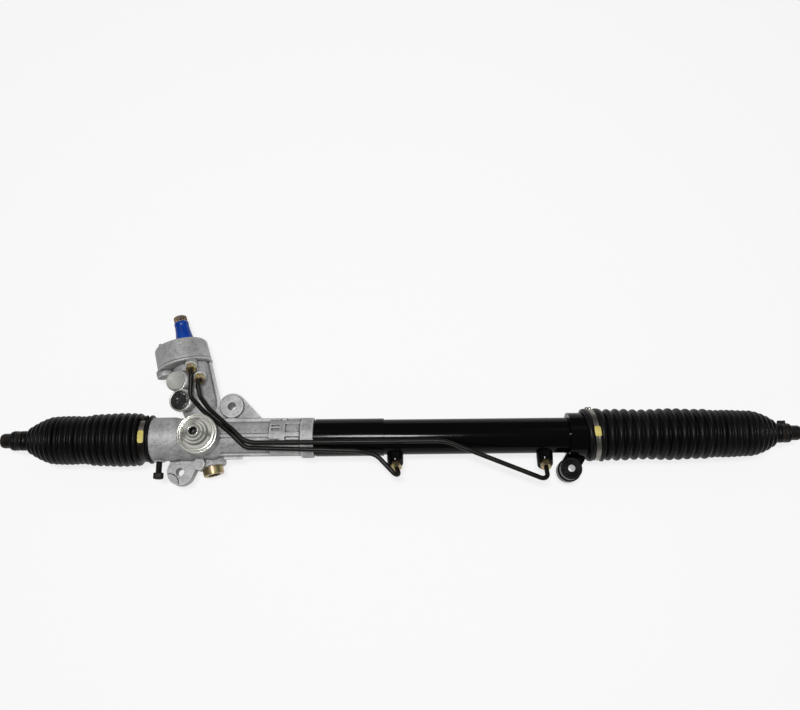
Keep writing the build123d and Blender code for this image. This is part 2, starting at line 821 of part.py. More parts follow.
def bottom_plug():
    """The threaded plug below the pinion, with its round wrench recess."""
    top = pinion_boss_end + bottom_plug_depth
    low = pinion_boss_end - bottom_plug_height
    plug = rod(tower_line, bottom_plug_thread - slip, pinion_boss_end, top)
    plug += rod(tower_line, bottom_plug_head, low + 1, pinion_boss_end)
    plug += rod(tower_line, bottom_plug_head - 1, low, low + 1)
    plug -= rod(tower_line, nut_room_radius, top - nut_room_depth, top + 1)
    return plug - hexagon(tower_line, 2 * bottom_plug_recess, low - 1, low + 6)


def top_bearing():
    return ring(tower_line, input_radius + run, valve_bore - slip,
                top_bearing_start, top_bearing_start + top_bearing_width)


def top_seal():
    start = top_seal_start
    return ring(tower_line, input_radius + run, valve_bore - slip, start, start + top_seal_width)


def top_circlip():
    start = top_seal_start + top_seal_width
    clip = ring(tower_line, valve_bore - 3, valve_bore + circlip_depth - slip, start, start + circlip_width - 0.1)
    return clip - tower_line * Pos(0, -valve_bore, start) * Box(6, 8, 6)


def shaft_guard():
    """The tapered plastic guard pushed over the input shaft."""
    guard = lathe(tower_line, [
        (input_radius + slip, guard_start), (guard_base_radius, guard_start),
        (guard_base_radius, guard_start + 6), (guard_top_radius + 0.3, guard_end - 12),
        (guard_top_radius, guard_end), (input_radius + slip, guard_end),
    ])
    return guard


# ================================================================ yoke
def yoke():
    """The sliding shoe that presses the bar into mesh."""
    top = plug_bottom - yoke_play
    shoe = rod(yoke_line, yoke_radius - run, yoke_foot, top)
    shoe -= rod(rack_line, saddle_radius, yoke_x - 2 * yoke_radius, yoke_x + 2 * yoke_radius)
    return shoe - rod(yoke_line, spring_pocket_radius, top - spring_pocket_depth, top + 1)


def yoke_liner():
    """The half-round bearing strip between the shoe and the bar."""
    half = liner_half_angle
    inner, outer = rack_radius + run, rack_radius + run + liner_thickness
    strip = ring(rack_line, inner, outer, yoke_x - liner_length / 2, yoke_x + liner_length / 2)
    reach = 2 * outer
    wedge = make_face(Polyline((0, 0), (reach * sin(radians(half)), reach * cos(radians(half))), (0, 2 * reach),
                               (-reach * sin(radians(half)), reach * cos(radians(half))), close=True))
    keep = Pos(yoke_x - liner_length, 0, 0) * (Plane.YZ * extrude(wedge, 2 * liner_length))
    return strip & keep


def yoke_spring():
    low = plug_bottom - yoke_play - spring_pocket_depth + spring_wire + 0.05
    high = plug_bottom - spring_wire - 0.05
    pitch = (high - low) / spring_turns
    coil = Helix(pitch, high - low, spring_radius)
    start = Plane(origin=coil @ 0, z_dir=coil % 0)
    wire = sweep(start * Circle(spring_wire), path=coil)
    return yoke_line * Pos(0, 0, low) * wire


def yoke_plug():
    """The adjusting plug that closes the yoke bore, a cone with a socket in its nose."""
    thread = yoke_thread_radius - slip
    nose, nose_foot = yoke_nose_radius, yoke_plug_face - yoke_nose_height
    plug = lathe(yoke_line, [
        (0, plug_bottom), (thread, plug_bottom), (thread, yoke_plug_foot - 1), (thread - 1, yoke_plug_foot),
        (nose + 2.2, nose_foot), (nose, nose_foot), (nose, yoke_plug_face - 0.6), (nose - 0.6, yoke_plug_face),
        (0, yoke_plug_face),
    ])
    return plug - hexagon(yoke_line, yoke_socket_across, yoke_plug_face - yoke_socket_depth, yoke_plug_face + 1)


def yoke_locknut():
    low, high = yoke_boss_face, yoke_boss_face + locknut_height
    nut = lathe(yoke_line, [
        (yoke_thread_radius, low), (locknut_radius, low), (locknut_radius, high - 1.2),
        (locknut_radius - 1.2, high), (yoke_thread_radius, high),
    ])
    for n in range(4):
        nut -= yoke_line * Rot(0, 0, 45 + 90 * n) * Pos(locknut_radius, 0, high - 1) * Box(3, 5, 3)
    return nut


# ================================================================ cylinder
def cylinder_tube():
    """The seamless tube that the piston runs in and the right boot seats on."""
    tube = ring(rack_line, tube_bore, tube_radius, tube_start, tube_end)
    clip = outer_head_left + outer_head_length
    tube -= rod(rack_line, tube_bore + circlip_depth, clip, clip + circlip_width)
    for line in (left_port, right_port):
        tube -= rod(line, fluid_hole_radius, 0, port_reach)
    return tube


def tube_sleeve():
    return ring(rack_line, tube_radius + slip, tube_radius + slip + sleeve_thickness, sleeve_left, sleeve_right)


def port_fitting(line, nut_line):
    """A fitting brazed below the cylinder, cut slanting where a pipe nut enters it."""
    boss = lathe(line, [(0, 0), (port_root_radius, 0), (port_root_radius, tube_radius + 6),
                        (port_tip_radius, port_reach), (0, port_reach)])
    boss -= rod(rack_line, tube_radius, tube_start, tube_end)
    boss -= rod(nut_line, 3 * port_root_radius, 0, port_reach)
    boss -= rod(nut_line, nut_bore, -nut_thread_length, 1)
    return boss - rod(line, fluid_hole_radius, 0, port_nut_low - nut_thread_length / 2)


def cylinder_head(left, length, pocket_left):
    """A seal carrier inside the tube."""
    head = ring(rack_line, rack_radius + head_bore_gap, tube_bore - slip, left, left + length)
    return head - rod(rack_line, seal_pocket_radius, pocket_left, pocket_left + seal_width)


def inner_head():
    return cylinder_head(inner_head_left, inner_head_length, inner_head_left + inner_head_length - seal_width)


def outer_head():
    head = cylinder_head(outer_head_left, outer_head_length, outer_head_left)
    start = outer_head_left + outer_head_length - bush_length
    return head - rod(rack_line, rack_radius + run + bush_thickness + slip, start, start + bush_length + 1)


def rack_seal(left):
    """A lipped seal round the bar."""
    lip = seal_width / 3
    return lathe(rack_line, [
        (rack_radius + run, left), (seal_pocket_radius - slip, left), (seal_pocket_radius - slip, left + seal_width),
        (rack_radius + run + 1.4, left + seal_width), (rack_radius + run + 1.4, left + lip), (rack_radius + run, left + lip - 0.6),
    ])


def inner_seal():
    return rack_seal(inner_head_left + inner_head_length - seal_width)


def outer_seal():
    return rack_seal(outer_head_left)


def rack_bush():
    inner = rack_radius + run
    end = outer_head_left + outer_head_length
    return ring(rack_line, inner, inner + bush_thickness, end - bush_length, end)


def head_circlip():
    start = outer_head_left + outer_head_length
    clip = ring(rack_line, tube_bore - 2.5, tube_bore + circlip_depth - slip, start, start + circlip_width - 0.1)
    return clip - Pos(start, tube_bore, 0) * Box(6, 8, 5)


def right_bracket():
    """The ring, web and eye that bolt the cylinder end down."""
    body = ring(rack_line, tube_radius + slip, bracket_ring_radius, bracket_left, bracket_right)
    x, y = bracket_eye
    eye_top = bracket_front - bush_lip_height
    body += lathe(upright(x, y), [
        (0, seat_z + bush_lip_height), (bracket_eye_radius, seat_z + bush_lip_height),
        (bracket_eye_radius, eye_step), (bracket_eye_radius - 1.4, eye_step + 1.6),
        (bracket_eye_radius - 1.4, eye_top - 1), (bracket_eye_radius - 2.4, eye_top), (0, eye_top),
    ])
    web = make_face(Polyline((x - bracket_eye_radius + 1, y + 4), (bracket_left, -tube_radius + 2),
                             (bracket_right, -tube_radius + 2), (bracket_right, -bracket_ring_radius - 2),
                             (x + bracket_eye_radius - 1, y + 4), close=True))
    body += slab(web, web_back, web_front)
    body -= rod(rack_line, tube_radius + slip, bracket_left - bracket_eye_radius, bracket_right + 1)
    return body - rod(upright(x, y), eye_bore, seat_z - 1, bracket_front + 1)


def bracket_rubber():
    x, y = bracket_eye
    line = upright(x, y)
    low, high = seat_z + bush_lip_height, bracket_front - bush_lip_height
    rubber = ring(line, bush_sleeve_radius + slip, eye_bore - slip, seat_z + 0.4, bracket_front - 0.4)
    rubber += ring(line, bush_sleeve_radius + slip, bush_lip_radius, seat_z + 0.4, low)
    return rubber + ring(line, bush_sleeve_radius + slip, bush_lip_radius, high, bracket_front - 0.4)


def bracket_sleeve():
    return ring(upright(*bracket_eye), bolt_hole_radius, bush_sleeve_radius, seat_z, bracket_front)


# ================================================================ pipes and nuts
def flare_nut(line):
    """A pipe nut: a threaded end inside its boss, a hexagon outside it."""
    nut = rod(line, nut_bore - slip, -nut_thread_length + 1, 0)
    nut += hexagon(line, nut_across, 0, nut_hex_length)
    return nut - rod(line, pipe_radius + slip, -nut_thread_length, nut_hex_length + 1)


def valve_nuts():
    return group([flare_nut(nut_a), flare_nut(nut_b)])


def cylinder_nuts():
    return group([flare_nut(left_port_nut), flare_nut(right_port_nut)])


def pipe(start_line, route, end_line, drop, bends):
    """A steel pipe: straight runs joined by tangent arcs, from one nut into another."""
    start = start_line.from_local_coords((0, 0, -pipe_pull_back))
    leave = start_line.from_local_coords((0, 0, nut_hex_length + 5))
    arrive = end_line.from_local_coords((0, 0, drop))
    end = end_line.from_local_coords((0, 0, -pipe_pull_back))
    points = [start, leave] + [Vector(*point) for point in route] + [arrive, end]
    path = FilletPolyline(*points, radius=list(bends))
    section = Plane(origin=path @ 0, z_dir=path % 0) * Circle(pipe_radius)
    return sweep(section, path=path)


def short_pipe():
    return pipe(nut_a, short_pipe_route, left_port_nut, short_pipe_drop, short_pipe_bends)


def long_pipe():
    return pipe(nut_b, long_pipe_route, right_port_nut, long_pipe_drop, long_pipe_bends)


def port_plug(line, radius):
    """A push-in shipping plug with a ribbed head."""
    plug = rod(line, port_bore - slip, port_face - port_depth + 2, port_face)
    plug += rod(line, radius, port_face, port_face + plug_head_height - 0.8)
    plug += rod(line, radius - 0.8, port_face + plug_head_height - 0.8, port_face + plug_head_height)
    return plug


def pressure_plug():
    plug = port_plug(pressure_port, pressure_plug_radius)
    top = port_face + plug_head_height
    return plug - hexagon(pressure_port, plug_socket_across, top - 2, top + 1)


def return_plug():
    return port_plug(return_port, return_plug_radius)


def centring_screw():
    line = screw_line()
    head_low = screw_head_top - screw_head_height
    screw = rod(line, screw_radius, screw_head_top, screw_tip)
    screw += rod(line, screw_head_radius, head_low, screw_head_top)
    return screw - hexagon(line, screw_socket_across, head_low - 1, head_low + screw_socket_depth)


# ================================================================ rack bar
def tooth_gaps():
    """The gaps between the rack teeth, as one flat outline seen along Y."""
    reference = pinion_drop - roll_radius - profile_shift * normal_module
    tips = tooth_root + tooth_depth
    slope = tan(pressure_angle)
    root_half = (rack_pitch / 2 + backlash) / 2 - (reference - tooth_root) * slope
    tip_half = (rack_pitch / 2 + backlash) / 2 + (tips - reference) * slope
    first, last = ceil((teeth_left - cross_x) / rack_pitch), floor((teeth_right - cross_x) / rack_pitch)
    gaps = Sketch()
    for n in range(first, last + 1):
        x = cross_x + n * rack_pitch
        gaps += make_face(Polyline((x - root_half, -tooth_root), (x + root_half, -tooth_root),
                                   (x + tip_half, -tips - 0.01), (x - tip_half, -tips - 0.01), close=True))
    return gaps


def rack_bar():
    """The bar, with its teeth milled straight across and its ends bored for the ball joints."""
    bar = rod(rack_line, rack_radius, rack_left_end, rack_right_end)
    tips = tooth_root + tooth_depth
    flat_length = teeth_right - teeth_left + rack_pitch
    bar -= Pos((teeth_left + teeth_right) / 2, 0, -tips - rack_radius) * Box(flat_length, 40, 2 * rack_radius)
    cutter = Plane.XZ * extrude(tooth_gaps(), 2 * rack_radius, both=True)
    bar -= cutter
    hole = link_stud_radius
    bar -= rod(rack_line, hole, rack_left_end - 1, rack_left_end + link_stud_length + 2)
    bar -= rod(rack_line, hole, rack_right_end - link_stud_length - 2, rack_right_end + 1)
    for start in piston_clip_places():
        bar -= ring(rack_line, rack_radius - piston_clip_depth, rack_radius + 1, start, start + piston_clip_width)
    return bar.solids().sort_by(SortBy.VOLUME)[-1]


def piston_clip_places():
    left = piston_x - piston_width / 2
    return left - piston_clip_width, piston_x + piston_width / 2


def piston():
    left = piston_x - piston_width / 2
    body = ring(rack_line, rack_radius + slip, piston_radius, left, left + piston_width)
    middle = piston_x - piston_ring_width / 2
    return body - ring(rack_line, piston_radius - piston_ring_depth, piston_radius + 1,
                       middle, middle + piston_ring_width)


def piston_ring():
    start = piston_x - piston_ring_width / 2
    return ring(rack_line, piston_radius - piston_ring_depth + slip, tube_bore - run,
                start + 0.05, start + piston_ring_width - 0.05)


def piston_clips():
    inner, outer = rack_radius - piston_clip_depth + slip, rack_radius + piston_clip_height
    clips = []
    for start in piston_clip_places():
        clip = ring(rack_line, inner, outer, start, start + piston_clip_width)
        clips.append(clip - Pos(start, rack_radius, 0) * Box(6, 8, 5))
    return group(clips)


# ================================================================ ball joints and tie rods
def end_line(left):
    """A line out of one end of the bar, starting at its end face."""
    if left:
        return Plane(origin=(rack_left_end, 0, 0), x_dir=(0, 1, 0), z_dir=(-1, 0, 0))
    return Plane(origin=(rack_right_end, 0, 0), x_dir=(0, 1, 0), z_dir=(1, 0, 0))


def ball_housing(left):
    """The crimped cup that holds the tie rod's ball, screwed into the bar."""
    line = end_line(left)
    cavity = liner_radius + cavity_gap
    lip = ball_depth + sqrt(cavity ** 2 - lip_radius ** 2)
    cup = lathe(line, [
        (0, -link_stud_length), (link_stud_radius - slip, -link_stud_length), (link_stud_radius - slip, 0),
        (ball_housing_radius - 1, 0), (ball_housing_radius, 1), (ball_housing_radius, ball_housing_length - 8),
        (mouth_radius + 1.2, ball_housing_length), (0, ball_housing_length),
    ])
    cup -= line * Pos(0, 0, ball_depth) * Sphere(cavity)
    cup -= lathe(line, [(0, ball_depth), (lip_radius, ball_depth), (lip_radius, lip),
                        (mouth_radius, ball_housing_length + 0.01), (0, ball_housing_length + 0.01)])
    for side in (-1, 1):
        flat = Pos(side * (ball_housing_radius + 3.5), 0, 5) * Box(10, 40, 10.01)
        cup -= line * flat
    return cup


def ball_liner(left):
    """The plastic shell between the ball and its housing."""
    line = end_line(left) * Pos(0, 0, ball_depth)
    shell = line * (Sphere(liner_radius) - Sphere(ball_radius + run))
    cut = liner_radius * cos(liner_edge)
    return shell - rod(line, 2 * liner_radius, cut, 2 * liner_radius)


def tie_rod(left):
    """The inner tie rod: ball, neck, shaft and the bored end for the outer joint."""
    line = end_line(left)
    end = abs((left_tip - rack_left_end) if left else (right_tip - rack_right_end))
    stub = abs((left_stub_start - rack_left_end) if left else (right_stub_start - rack_right_end))
    neck = ball_depth + sqrt(ball_radius ** 2 - tie_neck_radius ** 2) - 0.5
    shaft = lathe(line, [
        (0, neck), (tie_neck_radius, neck), (tie_neck_radius, ball_depth + tie_neck_length),
        (tie_radius, ball_depth + tie_neck_length + 4), (tie_radius, stub), (stub_radius_end, stub),
        (stub_radius_end, end - stub_round), (stub_radius_end - 1.1, end - 1.2), (stub_radius_end - stub_round + 0.6, end),
        (0, end),
    ])
    shaft += line * Pos(0, 0, ball_depth) * Sphere(ball_radius)
    return shaft - rod(line, tie_thread_radius, end - tie_thread_depth, end + 1)


# ================================================================ bellows
def folds(start, end, count, crest, valley):
    """Outline points of evenly spaced folds, from a valley to the next."""
    points = []
    pitch = (end - start) / count
    for n in range(count):
        points += [(valley, start + n * pitch), (crest, start + (n + 0.5) * pitch)]
    return points


def taper_folds(start, end, from_radius, to_radius):
    """Outline points of the low ridges on the tapered end."""
    points = []
    step = (end - start) / taper_crests
    for n in range(taper_crests):
        radius = from_radius + (to_radius - from_radius) * n / taper_crests
        points += [(radius, start + n * step), (radius + taper_ridge, start + (n + 0.45) * step)]
    return points


def bellows(cuff, big_start, small_start, taper_start, taper_end, hem, big, small):
    """A bellows: a cuff, two stretches of folds, a ridged taper and a hem."""
    cuff_bore = boot_seat_radius + slip
    near, far = cuff
    sign = 1 if hem > near else -1
    outer = [(cuff_bore + boot_wall, near), (cuff_bore + boot_wall, far)]
    outer += folds(big_start, small_start, *big)
    outer += folds(small_start, taper_start, *small)
    outer += taper_folds(taper_start, taper_end, small[2] - 1.5, hem_radius + 0.6)
    outer += [(hem_radius, taper_end), (hem_radius, hem)]
    hem_bore = tie_radius + slip
    inner = [(hem_bore, hem), (hem_bore, taper_end), (boot_bore, taper_start - 4 * sign),
             (boot_bore, far + 4 * sign), (cuff_bore, far), (cuff_bore, near)]
    return lathe(rack_line, outer + inner)


def left_boot():
    return bellows((left_cuff[1], left_cuff[0]), left_cuff[0] - 2, left_small_start, left_taper_start,
                   left_taper_end, left_hem, (left_big_count, *left_big_folds),
                   (left_small_count, *left_small_folds))


def right_boot():
    return bellows(right_cuff, right_cuff[1] + 1, right_small_start, right_taper_start,
                   right_taper_end, right_hem, (right_big_count, *right_big_folds),
                   (right_small_count, *right_small_folds))


def clamp(x, bore, width, turn):
    """A crimped band clamp, with its pinched ear turned about the rack axis."""
    band = ring(rack_line, bore, bore + band_thickness, x - width / 2, x + width / 2)
    ear = Pos(0, 0, bore + band_thickness - 0.3 + ear_height / 2) * Box(width - 1.5, ear_width, ear_height)
    ear -= Pos(0, 0, bore + ear_height + 1.2) * Box(width, ear_width - 2.6, ear_height)
    return band + Pos(x, 0, 0) * Rot(turn, 0, 0) * ear


big_clamp_bore = boot_seat_radius + boot_wall + 2 * slip
small_clamp_bore = hem_radius + slip

nodes = {
    "rack_housing": rack_housing,
    "pinion": pinion,
    "lower_pin": lower_pin,
    "torsion_bar": torsion_bar,
    "upper_pin": upper_pin,
    "input_shaft": input_shaft,
    "shaft_guard": shaft_guard,
    "valve_sleeve": valve_sleeve,
    "sleeve_rings": sleeve_rings,
    "lower_bearing_outer": lower_bearing_outer,
    "lower_bearing_inner": lower_bearing_inner,
    "lower_bearing_balls": lower_bearing_balls,
    "pinion_nut": pinion_nut,
    "needle_shell": needle_shell,
    "needles": needles,
    "pinion_seal": pinion_seal,
    "bottom_plug": bottom_plug,
    "top_bearing": top_bearing,
    "top_seal": top_seal,
    "top_circlip": top_circlip,
    "yoke": yoke,
    "yoke_liner": yoke_liner,
    "yoke_spring": yoke_spring,
    "yoke_plug": yoke_plug,
    "yoke_locknut": yoke_locknut,
    "cylinder_tube": cylinder_tube,
    "tube_sleeve": tube_sleeve,
    "left_port_fitting": lambda: port_fitting(left_port, left_port_nut),
    "right_port_fitting": lambda: port_fitting(right_port, right_port_nut),
    "inner_head": inner_head,
    "inner_seal": inner_seal,
    "outer_head": outer_head,
    "outer_seal": outer_seal,
    "rack_bush": rack_bush,
    "head_circlip": head_circlip,
    "right_bracket": right_bracket,
    "bracket_rubber": bracket_rubber,
    "bracket_sleeve": bracket_sleeve,
    "valve_nuts": valve_nuts,
    "cylinder_nuts": cylinder_nuts,
    "short_pipe": short_pipe,
    "long_pipe": long_pipe,
    "pressure_plug": pressure_plug,
    "return_plug": return_plug,
    "centring_screw": centring_screw,
    "rack_bar": rack_bar,
    "piston": piston,
    "piston_ring": piston_ring,
    "piston_clips": piston_clips,
    "left_ball_housing": lambda: ball_housing(True),
    "right_ball_housing": lambda: ball_housing(False),
    "left_ball_liner": lambda: ball_liner(True),
    "right_ball_liner": lambda: ball_liner(False),
    "left_tie_rod": lambda: tie_rod(True),
    "right_tie_rod": lambda: tie_rod(False),
    "left_boot": left_boot,
    "right_boot": right_boot,
    "big_clamps": lambda: group([
        clamp(left_clamp_x, big_clamp_bore, big_clamp_width, 15),
        clamp(right_clamp_x, big_clamp_bore, big_clamp_width, -90)]),
    "left_hem_clamp": lambda: clamp(left_hem + left_hem_inset, small_clamp_bore, small_clamp_width, -90),
    "right_hem_clamp": lambda: clamp(right_hem - right_hem_inset, small_clamp_bore, small_clamp_width, -90),
}

if __name__ == "__main__":
    os.makedirs("parts", exist_ok=True)
    to_origin = Pos(-lower_ear[0], -lower_ear[1], -seat_z)
    for name, make in nodes.items():
        export_step(to_origin * make(), f"parts/{name}.step")
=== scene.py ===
import json
from math import cos, pi, radians, sin, sqrt

import bmesh
import bpy
from mathutils import Matrix, Vector


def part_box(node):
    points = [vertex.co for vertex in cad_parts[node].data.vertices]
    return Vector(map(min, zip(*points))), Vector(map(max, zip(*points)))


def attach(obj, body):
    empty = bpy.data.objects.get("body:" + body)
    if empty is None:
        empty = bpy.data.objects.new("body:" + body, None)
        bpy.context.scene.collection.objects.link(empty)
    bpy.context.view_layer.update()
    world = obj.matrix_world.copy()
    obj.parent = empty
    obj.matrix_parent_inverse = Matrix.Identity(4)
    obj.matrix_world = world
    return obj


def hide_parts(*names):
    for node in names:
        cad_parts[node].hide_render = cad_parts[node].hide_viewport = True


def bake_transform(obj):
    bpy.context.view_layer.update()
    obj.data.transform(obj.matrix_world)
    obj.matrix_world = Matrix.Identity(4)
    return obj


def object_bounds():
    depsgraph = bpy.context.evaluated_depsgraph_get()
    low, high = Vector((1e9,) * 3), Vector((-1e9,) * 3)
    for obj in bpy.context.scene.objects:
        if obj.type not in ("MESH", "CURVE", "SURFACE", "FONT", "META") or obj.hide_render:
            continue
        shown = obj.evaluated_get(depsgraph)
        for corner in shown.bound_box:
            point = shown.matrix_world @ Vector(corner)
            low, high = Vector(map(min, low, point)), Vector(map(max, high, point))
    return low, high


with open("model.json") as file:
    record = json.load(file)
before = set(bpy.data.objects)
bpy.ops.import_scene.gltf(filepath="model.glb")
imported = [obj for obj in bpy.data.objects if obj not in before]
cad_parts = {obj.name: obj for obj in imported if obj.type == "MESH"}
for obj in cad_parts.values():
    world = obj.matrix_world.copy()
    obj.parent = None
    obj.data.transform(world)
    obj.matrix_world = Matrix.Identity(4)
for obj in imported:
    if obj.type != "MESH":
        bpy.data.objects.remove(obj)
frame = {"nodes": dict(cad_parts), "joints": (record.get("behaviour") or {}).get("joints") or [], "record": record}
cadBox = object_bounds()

scene = bpy.context.scene
scene.view_settings.view_transform = "Standard"
joints = {j["name"]: j for j in frame["joints"]}

barY, barZ = joints["left_ball_rise"]["pos_m"][1:]      # the rack bar's own axis
towerFoot = Vector(joints["pinion_turn"]["pos_m"])
towerAxis = Vector(joints["pinion_turn"]["axis"])
yokeLow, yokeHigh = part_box("yoke_plug")
yokeCentre = (yokeLow + yokeHigh) / 2
print("frame loaded:", len(frame["nodes"]), "nodes")


def addObject(name, data):
    item = bpy.data.objects.new(name, data)
    scene.collection.objects.link(item)
    return item


# camera: above the object, leaning towards -Y
camera = {
    "target": (0.2860, 0.1526, 0.0220),
    "distance": 1.1,
    "tilt": radians(15.68),     # off the vertical
    "roll": 0.0105,
    "lens": 37.04,
    "sensor": 36.0,
}


def placeCamera(c):
    data = bpy.data.cameras.new("camera")
    data.lens, data.sensor_width = c["lens"], c["sensor"]
    data.clip_start, data.clip_end = 0.05, 200
    right, up = Vector((1, 0, 0)), Vector((0, cos(c["tilt"]), sin(c["tilt"])))
    back = Vector((0, -sin(c["tilt"]), cos(c["tilt"])))
    turnedRight = right * cos(c["roll"]) - up * sin(c["roll"])
    turnedUp = up * cos(c["roll"]) + right * sin(c["roll"])
    turn = Matrix((turnedRight, turnedUp, back)).transposed()
    item = addObject("camera", data)
    item.matrix_world = Matrix.Translation(Vector(c["target"]) + back * c["distance"]) @ turn.to_4x4()
    scene.camera = item


placeCamera(camera)
print("camera placed")


# shader groups that several finishes share
real, whole = "NodeSocketFloat", "NodeSocketInt"


def newGroup(name, inputs, outputs, family="ShaderNodeTree"):
    group = bpy.data.node_groups.new(name, family)
    for label, kind, value in inputs:
        socket = group.interface.new_socket(label, in_out="INPUT", socket_type=kind)
        if value is not None:
            socket.default_value = value
    for label, kind in outputs:
        group.interface.new_socket(label, in_out="OUTPUT", socket_type=kind)
    return group, group.nodes.new("NodeGroupInput"), group.nodes.new("NodeGroupOutput")


def feed(tree, node, values):
    # a socket is linked to the input it is given for, and any other value is set there
    for label, value in values:
        if isinstance(value, bpy.types.NodeSocket):
            tree.links.new(value, node.inputs[label])
        else:
            node.inputs[label].default_value = value


def maths(tree, operation, *values):
    node = tree.nodes.new("ShaderNodeMath")
    node.operation = operation
    feed(tree, node, enumerate(values))
    return node.outputs[0]


def noise(tree, vector, scale, detail=3.0, roughness=0.55):
    node = tree.nodes.new("ShaderNodeTexNoise")
    feed(tree, node, (("Vector", vector), ("Scale", scale), ("Detail", detail), ("Roughness", roughness)))
    return node.outputs["Fac"]


def spread(tree, value, low, high, outLow=0.0, outHigh=1.0):
    node = tree.nodes.new("ShaderNodeMapRange")
    feed(tree, node, (("Value", value), ("From Min", low), ("From Max", high), ("To Min", outLow),
                      ("To Max", outHigh)))
    return node.outputs["Result"]


def objectPlace(tree):
    return tree.nodes.new("ShaderNodeTexCoord").outputs["Object"]


def makeGrain():
    # a sandy height at two scales, and a slow blotch mask
    blotchLow, blotchHigh = 0.32, 0.68
    group, start, end = newGroup(
        "grain", [("Fine Scale", real, 900.0), ("Coarse Scale", real, 180.0), ("Coarse Share", real, 0.4),
                  ("Blotch Scale", real, 22.0)], [("Height", real), ("Blotch", real)])
    get, place = start.outputs, objectPlace(group)
    fine = noise(group, place, get["Fine Scale"], 2.0)
    coarse = maths(group, "MULTIPLY", noise(group, place, get["Coarse Scale"]), get["Coarse Share"])
    slow = noise(group, place, get["Blotch Scale"], 4.0, 0.6)
    feed(group, end, (("Height", maths(group, "ADD", fine, coarse)),
                      ("Blotch", spread(group, slow, blotchLow, blotchHigh))))
    return group


def makeEdges():
    # a rounded normal at sharp edges and a broken mask along them
    leastBend, breakLow, breakHigh = 0.004, 0.35, 0.6
    group, start, end = newGroup(
        "edges", [("Radius", real, 0.0006), ("Break Scale", real, 260.0), ("Reach", real, 0.12)],
        [("Normal", "NodeSocketVector"), ("Mask", real)])
    get, bevel = start.outputs, group.nodes.new("ShaderNodeBevel")
    bevel.samples = 4
    feed(group, bevel, [("Radius", get["Radius"])])
    flat = group.nodes.new("ShaderNodeNewGeometry")
    dot = group.nodes.new("ShaderNodeVectorMath")
    dot.operation = "DOT_PRODUCT"
    feed(group, dot, ((0, bevel.outputs["Normal"]), (1, flat.outputs["Normal"])))
    near = spread(group, maths(group, "SUBTRACT", 1.0, dot.outputs["Value"]), leastBend, get["Reach"])
    broken = spread(group, noise(group, objectPlace(group), get["Break Scale"], 4.0), breakLow, breakHigh)
    feed(group, end, (("Normal", bevel.outputs["Normal"]), ("Mask", maths(group, "MULTIPLY", near, broken))))
    return group


def makeRings():
    # fine turned marks round an axis: the vector comes in with that axis as Z
    wobbleScale, streakScale = 60.0, 900.0
    group, start, end = newGroup(
        "turned rings", [("Vector", "NodeSocketVector", None), ("Pitch", real, 0.0004), ("Waver", real, 0.0003)],
        [("Height", real), ("Streak", real)])
    get, parts = start.outputs, group.nodes.new("ShaderNodeSeparateXYZ")
    feed(group, parts, [(0, get["Vector"])])
    flat = maths(group, "ADD", maths(group, "POWER", parts.outputs["X"], 2.0),
                 maths(group, "POWER", parts.outputs["Y"], 2.0))
    radius = maths(group, "SQRT", flat)
    along = maths(group, "ADD", radius, parts.outputs["Z"])
    wobble = maths(group, "MULTIPLY", noise(group, get["Vector"], wobbleScale, 2.0), get["Waver"])
    turn = maths(group, "DIVIDE", maths(group, "ADD", along, wobble), get["Pitch"])
    line = group.nodes.new("ShaderNodeCombineXYZ")
    feed(group, line, [(0, along)])
    feed(group, end, (("Height", maths(group, "PINGPONG", turn, 1.0)),
                      ("Streak", noise(group, line.outputs[0], streakScale))))
    return group


grain, edges, rings = makeGrain(), makeEdges(), makeRings()
print("shader groups built")


# finishes
def newFinish(name, **sockets):
    finish = bpy.data.materials.new(name)
    finish.use_nodes = True
    tree = finish.node_tree
    shader = tree.nodes["Principled BSDF"]
    feed(tree, shader, [(label.replace("_", " "), value) for label, value in sockets.items()])
    return finish, tree, shader


def placeGroup(tree, group, **values):
    node = tree.nodes.new("ShaderNodeGroup")
    node.node_tree = group
    feed(tree, node, [(label.replace("_", " "), value) for label, value in values.items()])
    return node


def mixColours(tree, share, first, second):
    node = tree.nodes.new("ShaderNodeMix")
    node.data_type = "RGBA"
    feed(tree, node, ((0, share), (6, first), (7, second)))
    return node.outputs[2]


def bump(tree, shader, height, distance, strength, normal=None):
    node = tree.nodes.new("ShaderNodeBump")
    feed(tree, node, (("Distance", distance), ("Strength", strength), ("Height", height)))
    if normal:
        feed(tree, node, [("Normal", normal)])
    feed(tree, shader, [("Normal", node.outputs["Normal"])])


def speckled(tree, fine, coarse, share, blotch):
    return placeGroup(tree, grain, Fine_Scale=fine, Coarse_Scale=coarse, Coarse_Share=share, Blotch_Scale=blotch)


def wornEdges(tree, radius=0.0004, reach=0.25):
    return placeGroup(tree, edges, Radius=radius, Reach=reach)


def toned(base, gain, lift=0.0):
    return (*(min(1.0, v * gain + lift) for v in base), 1)


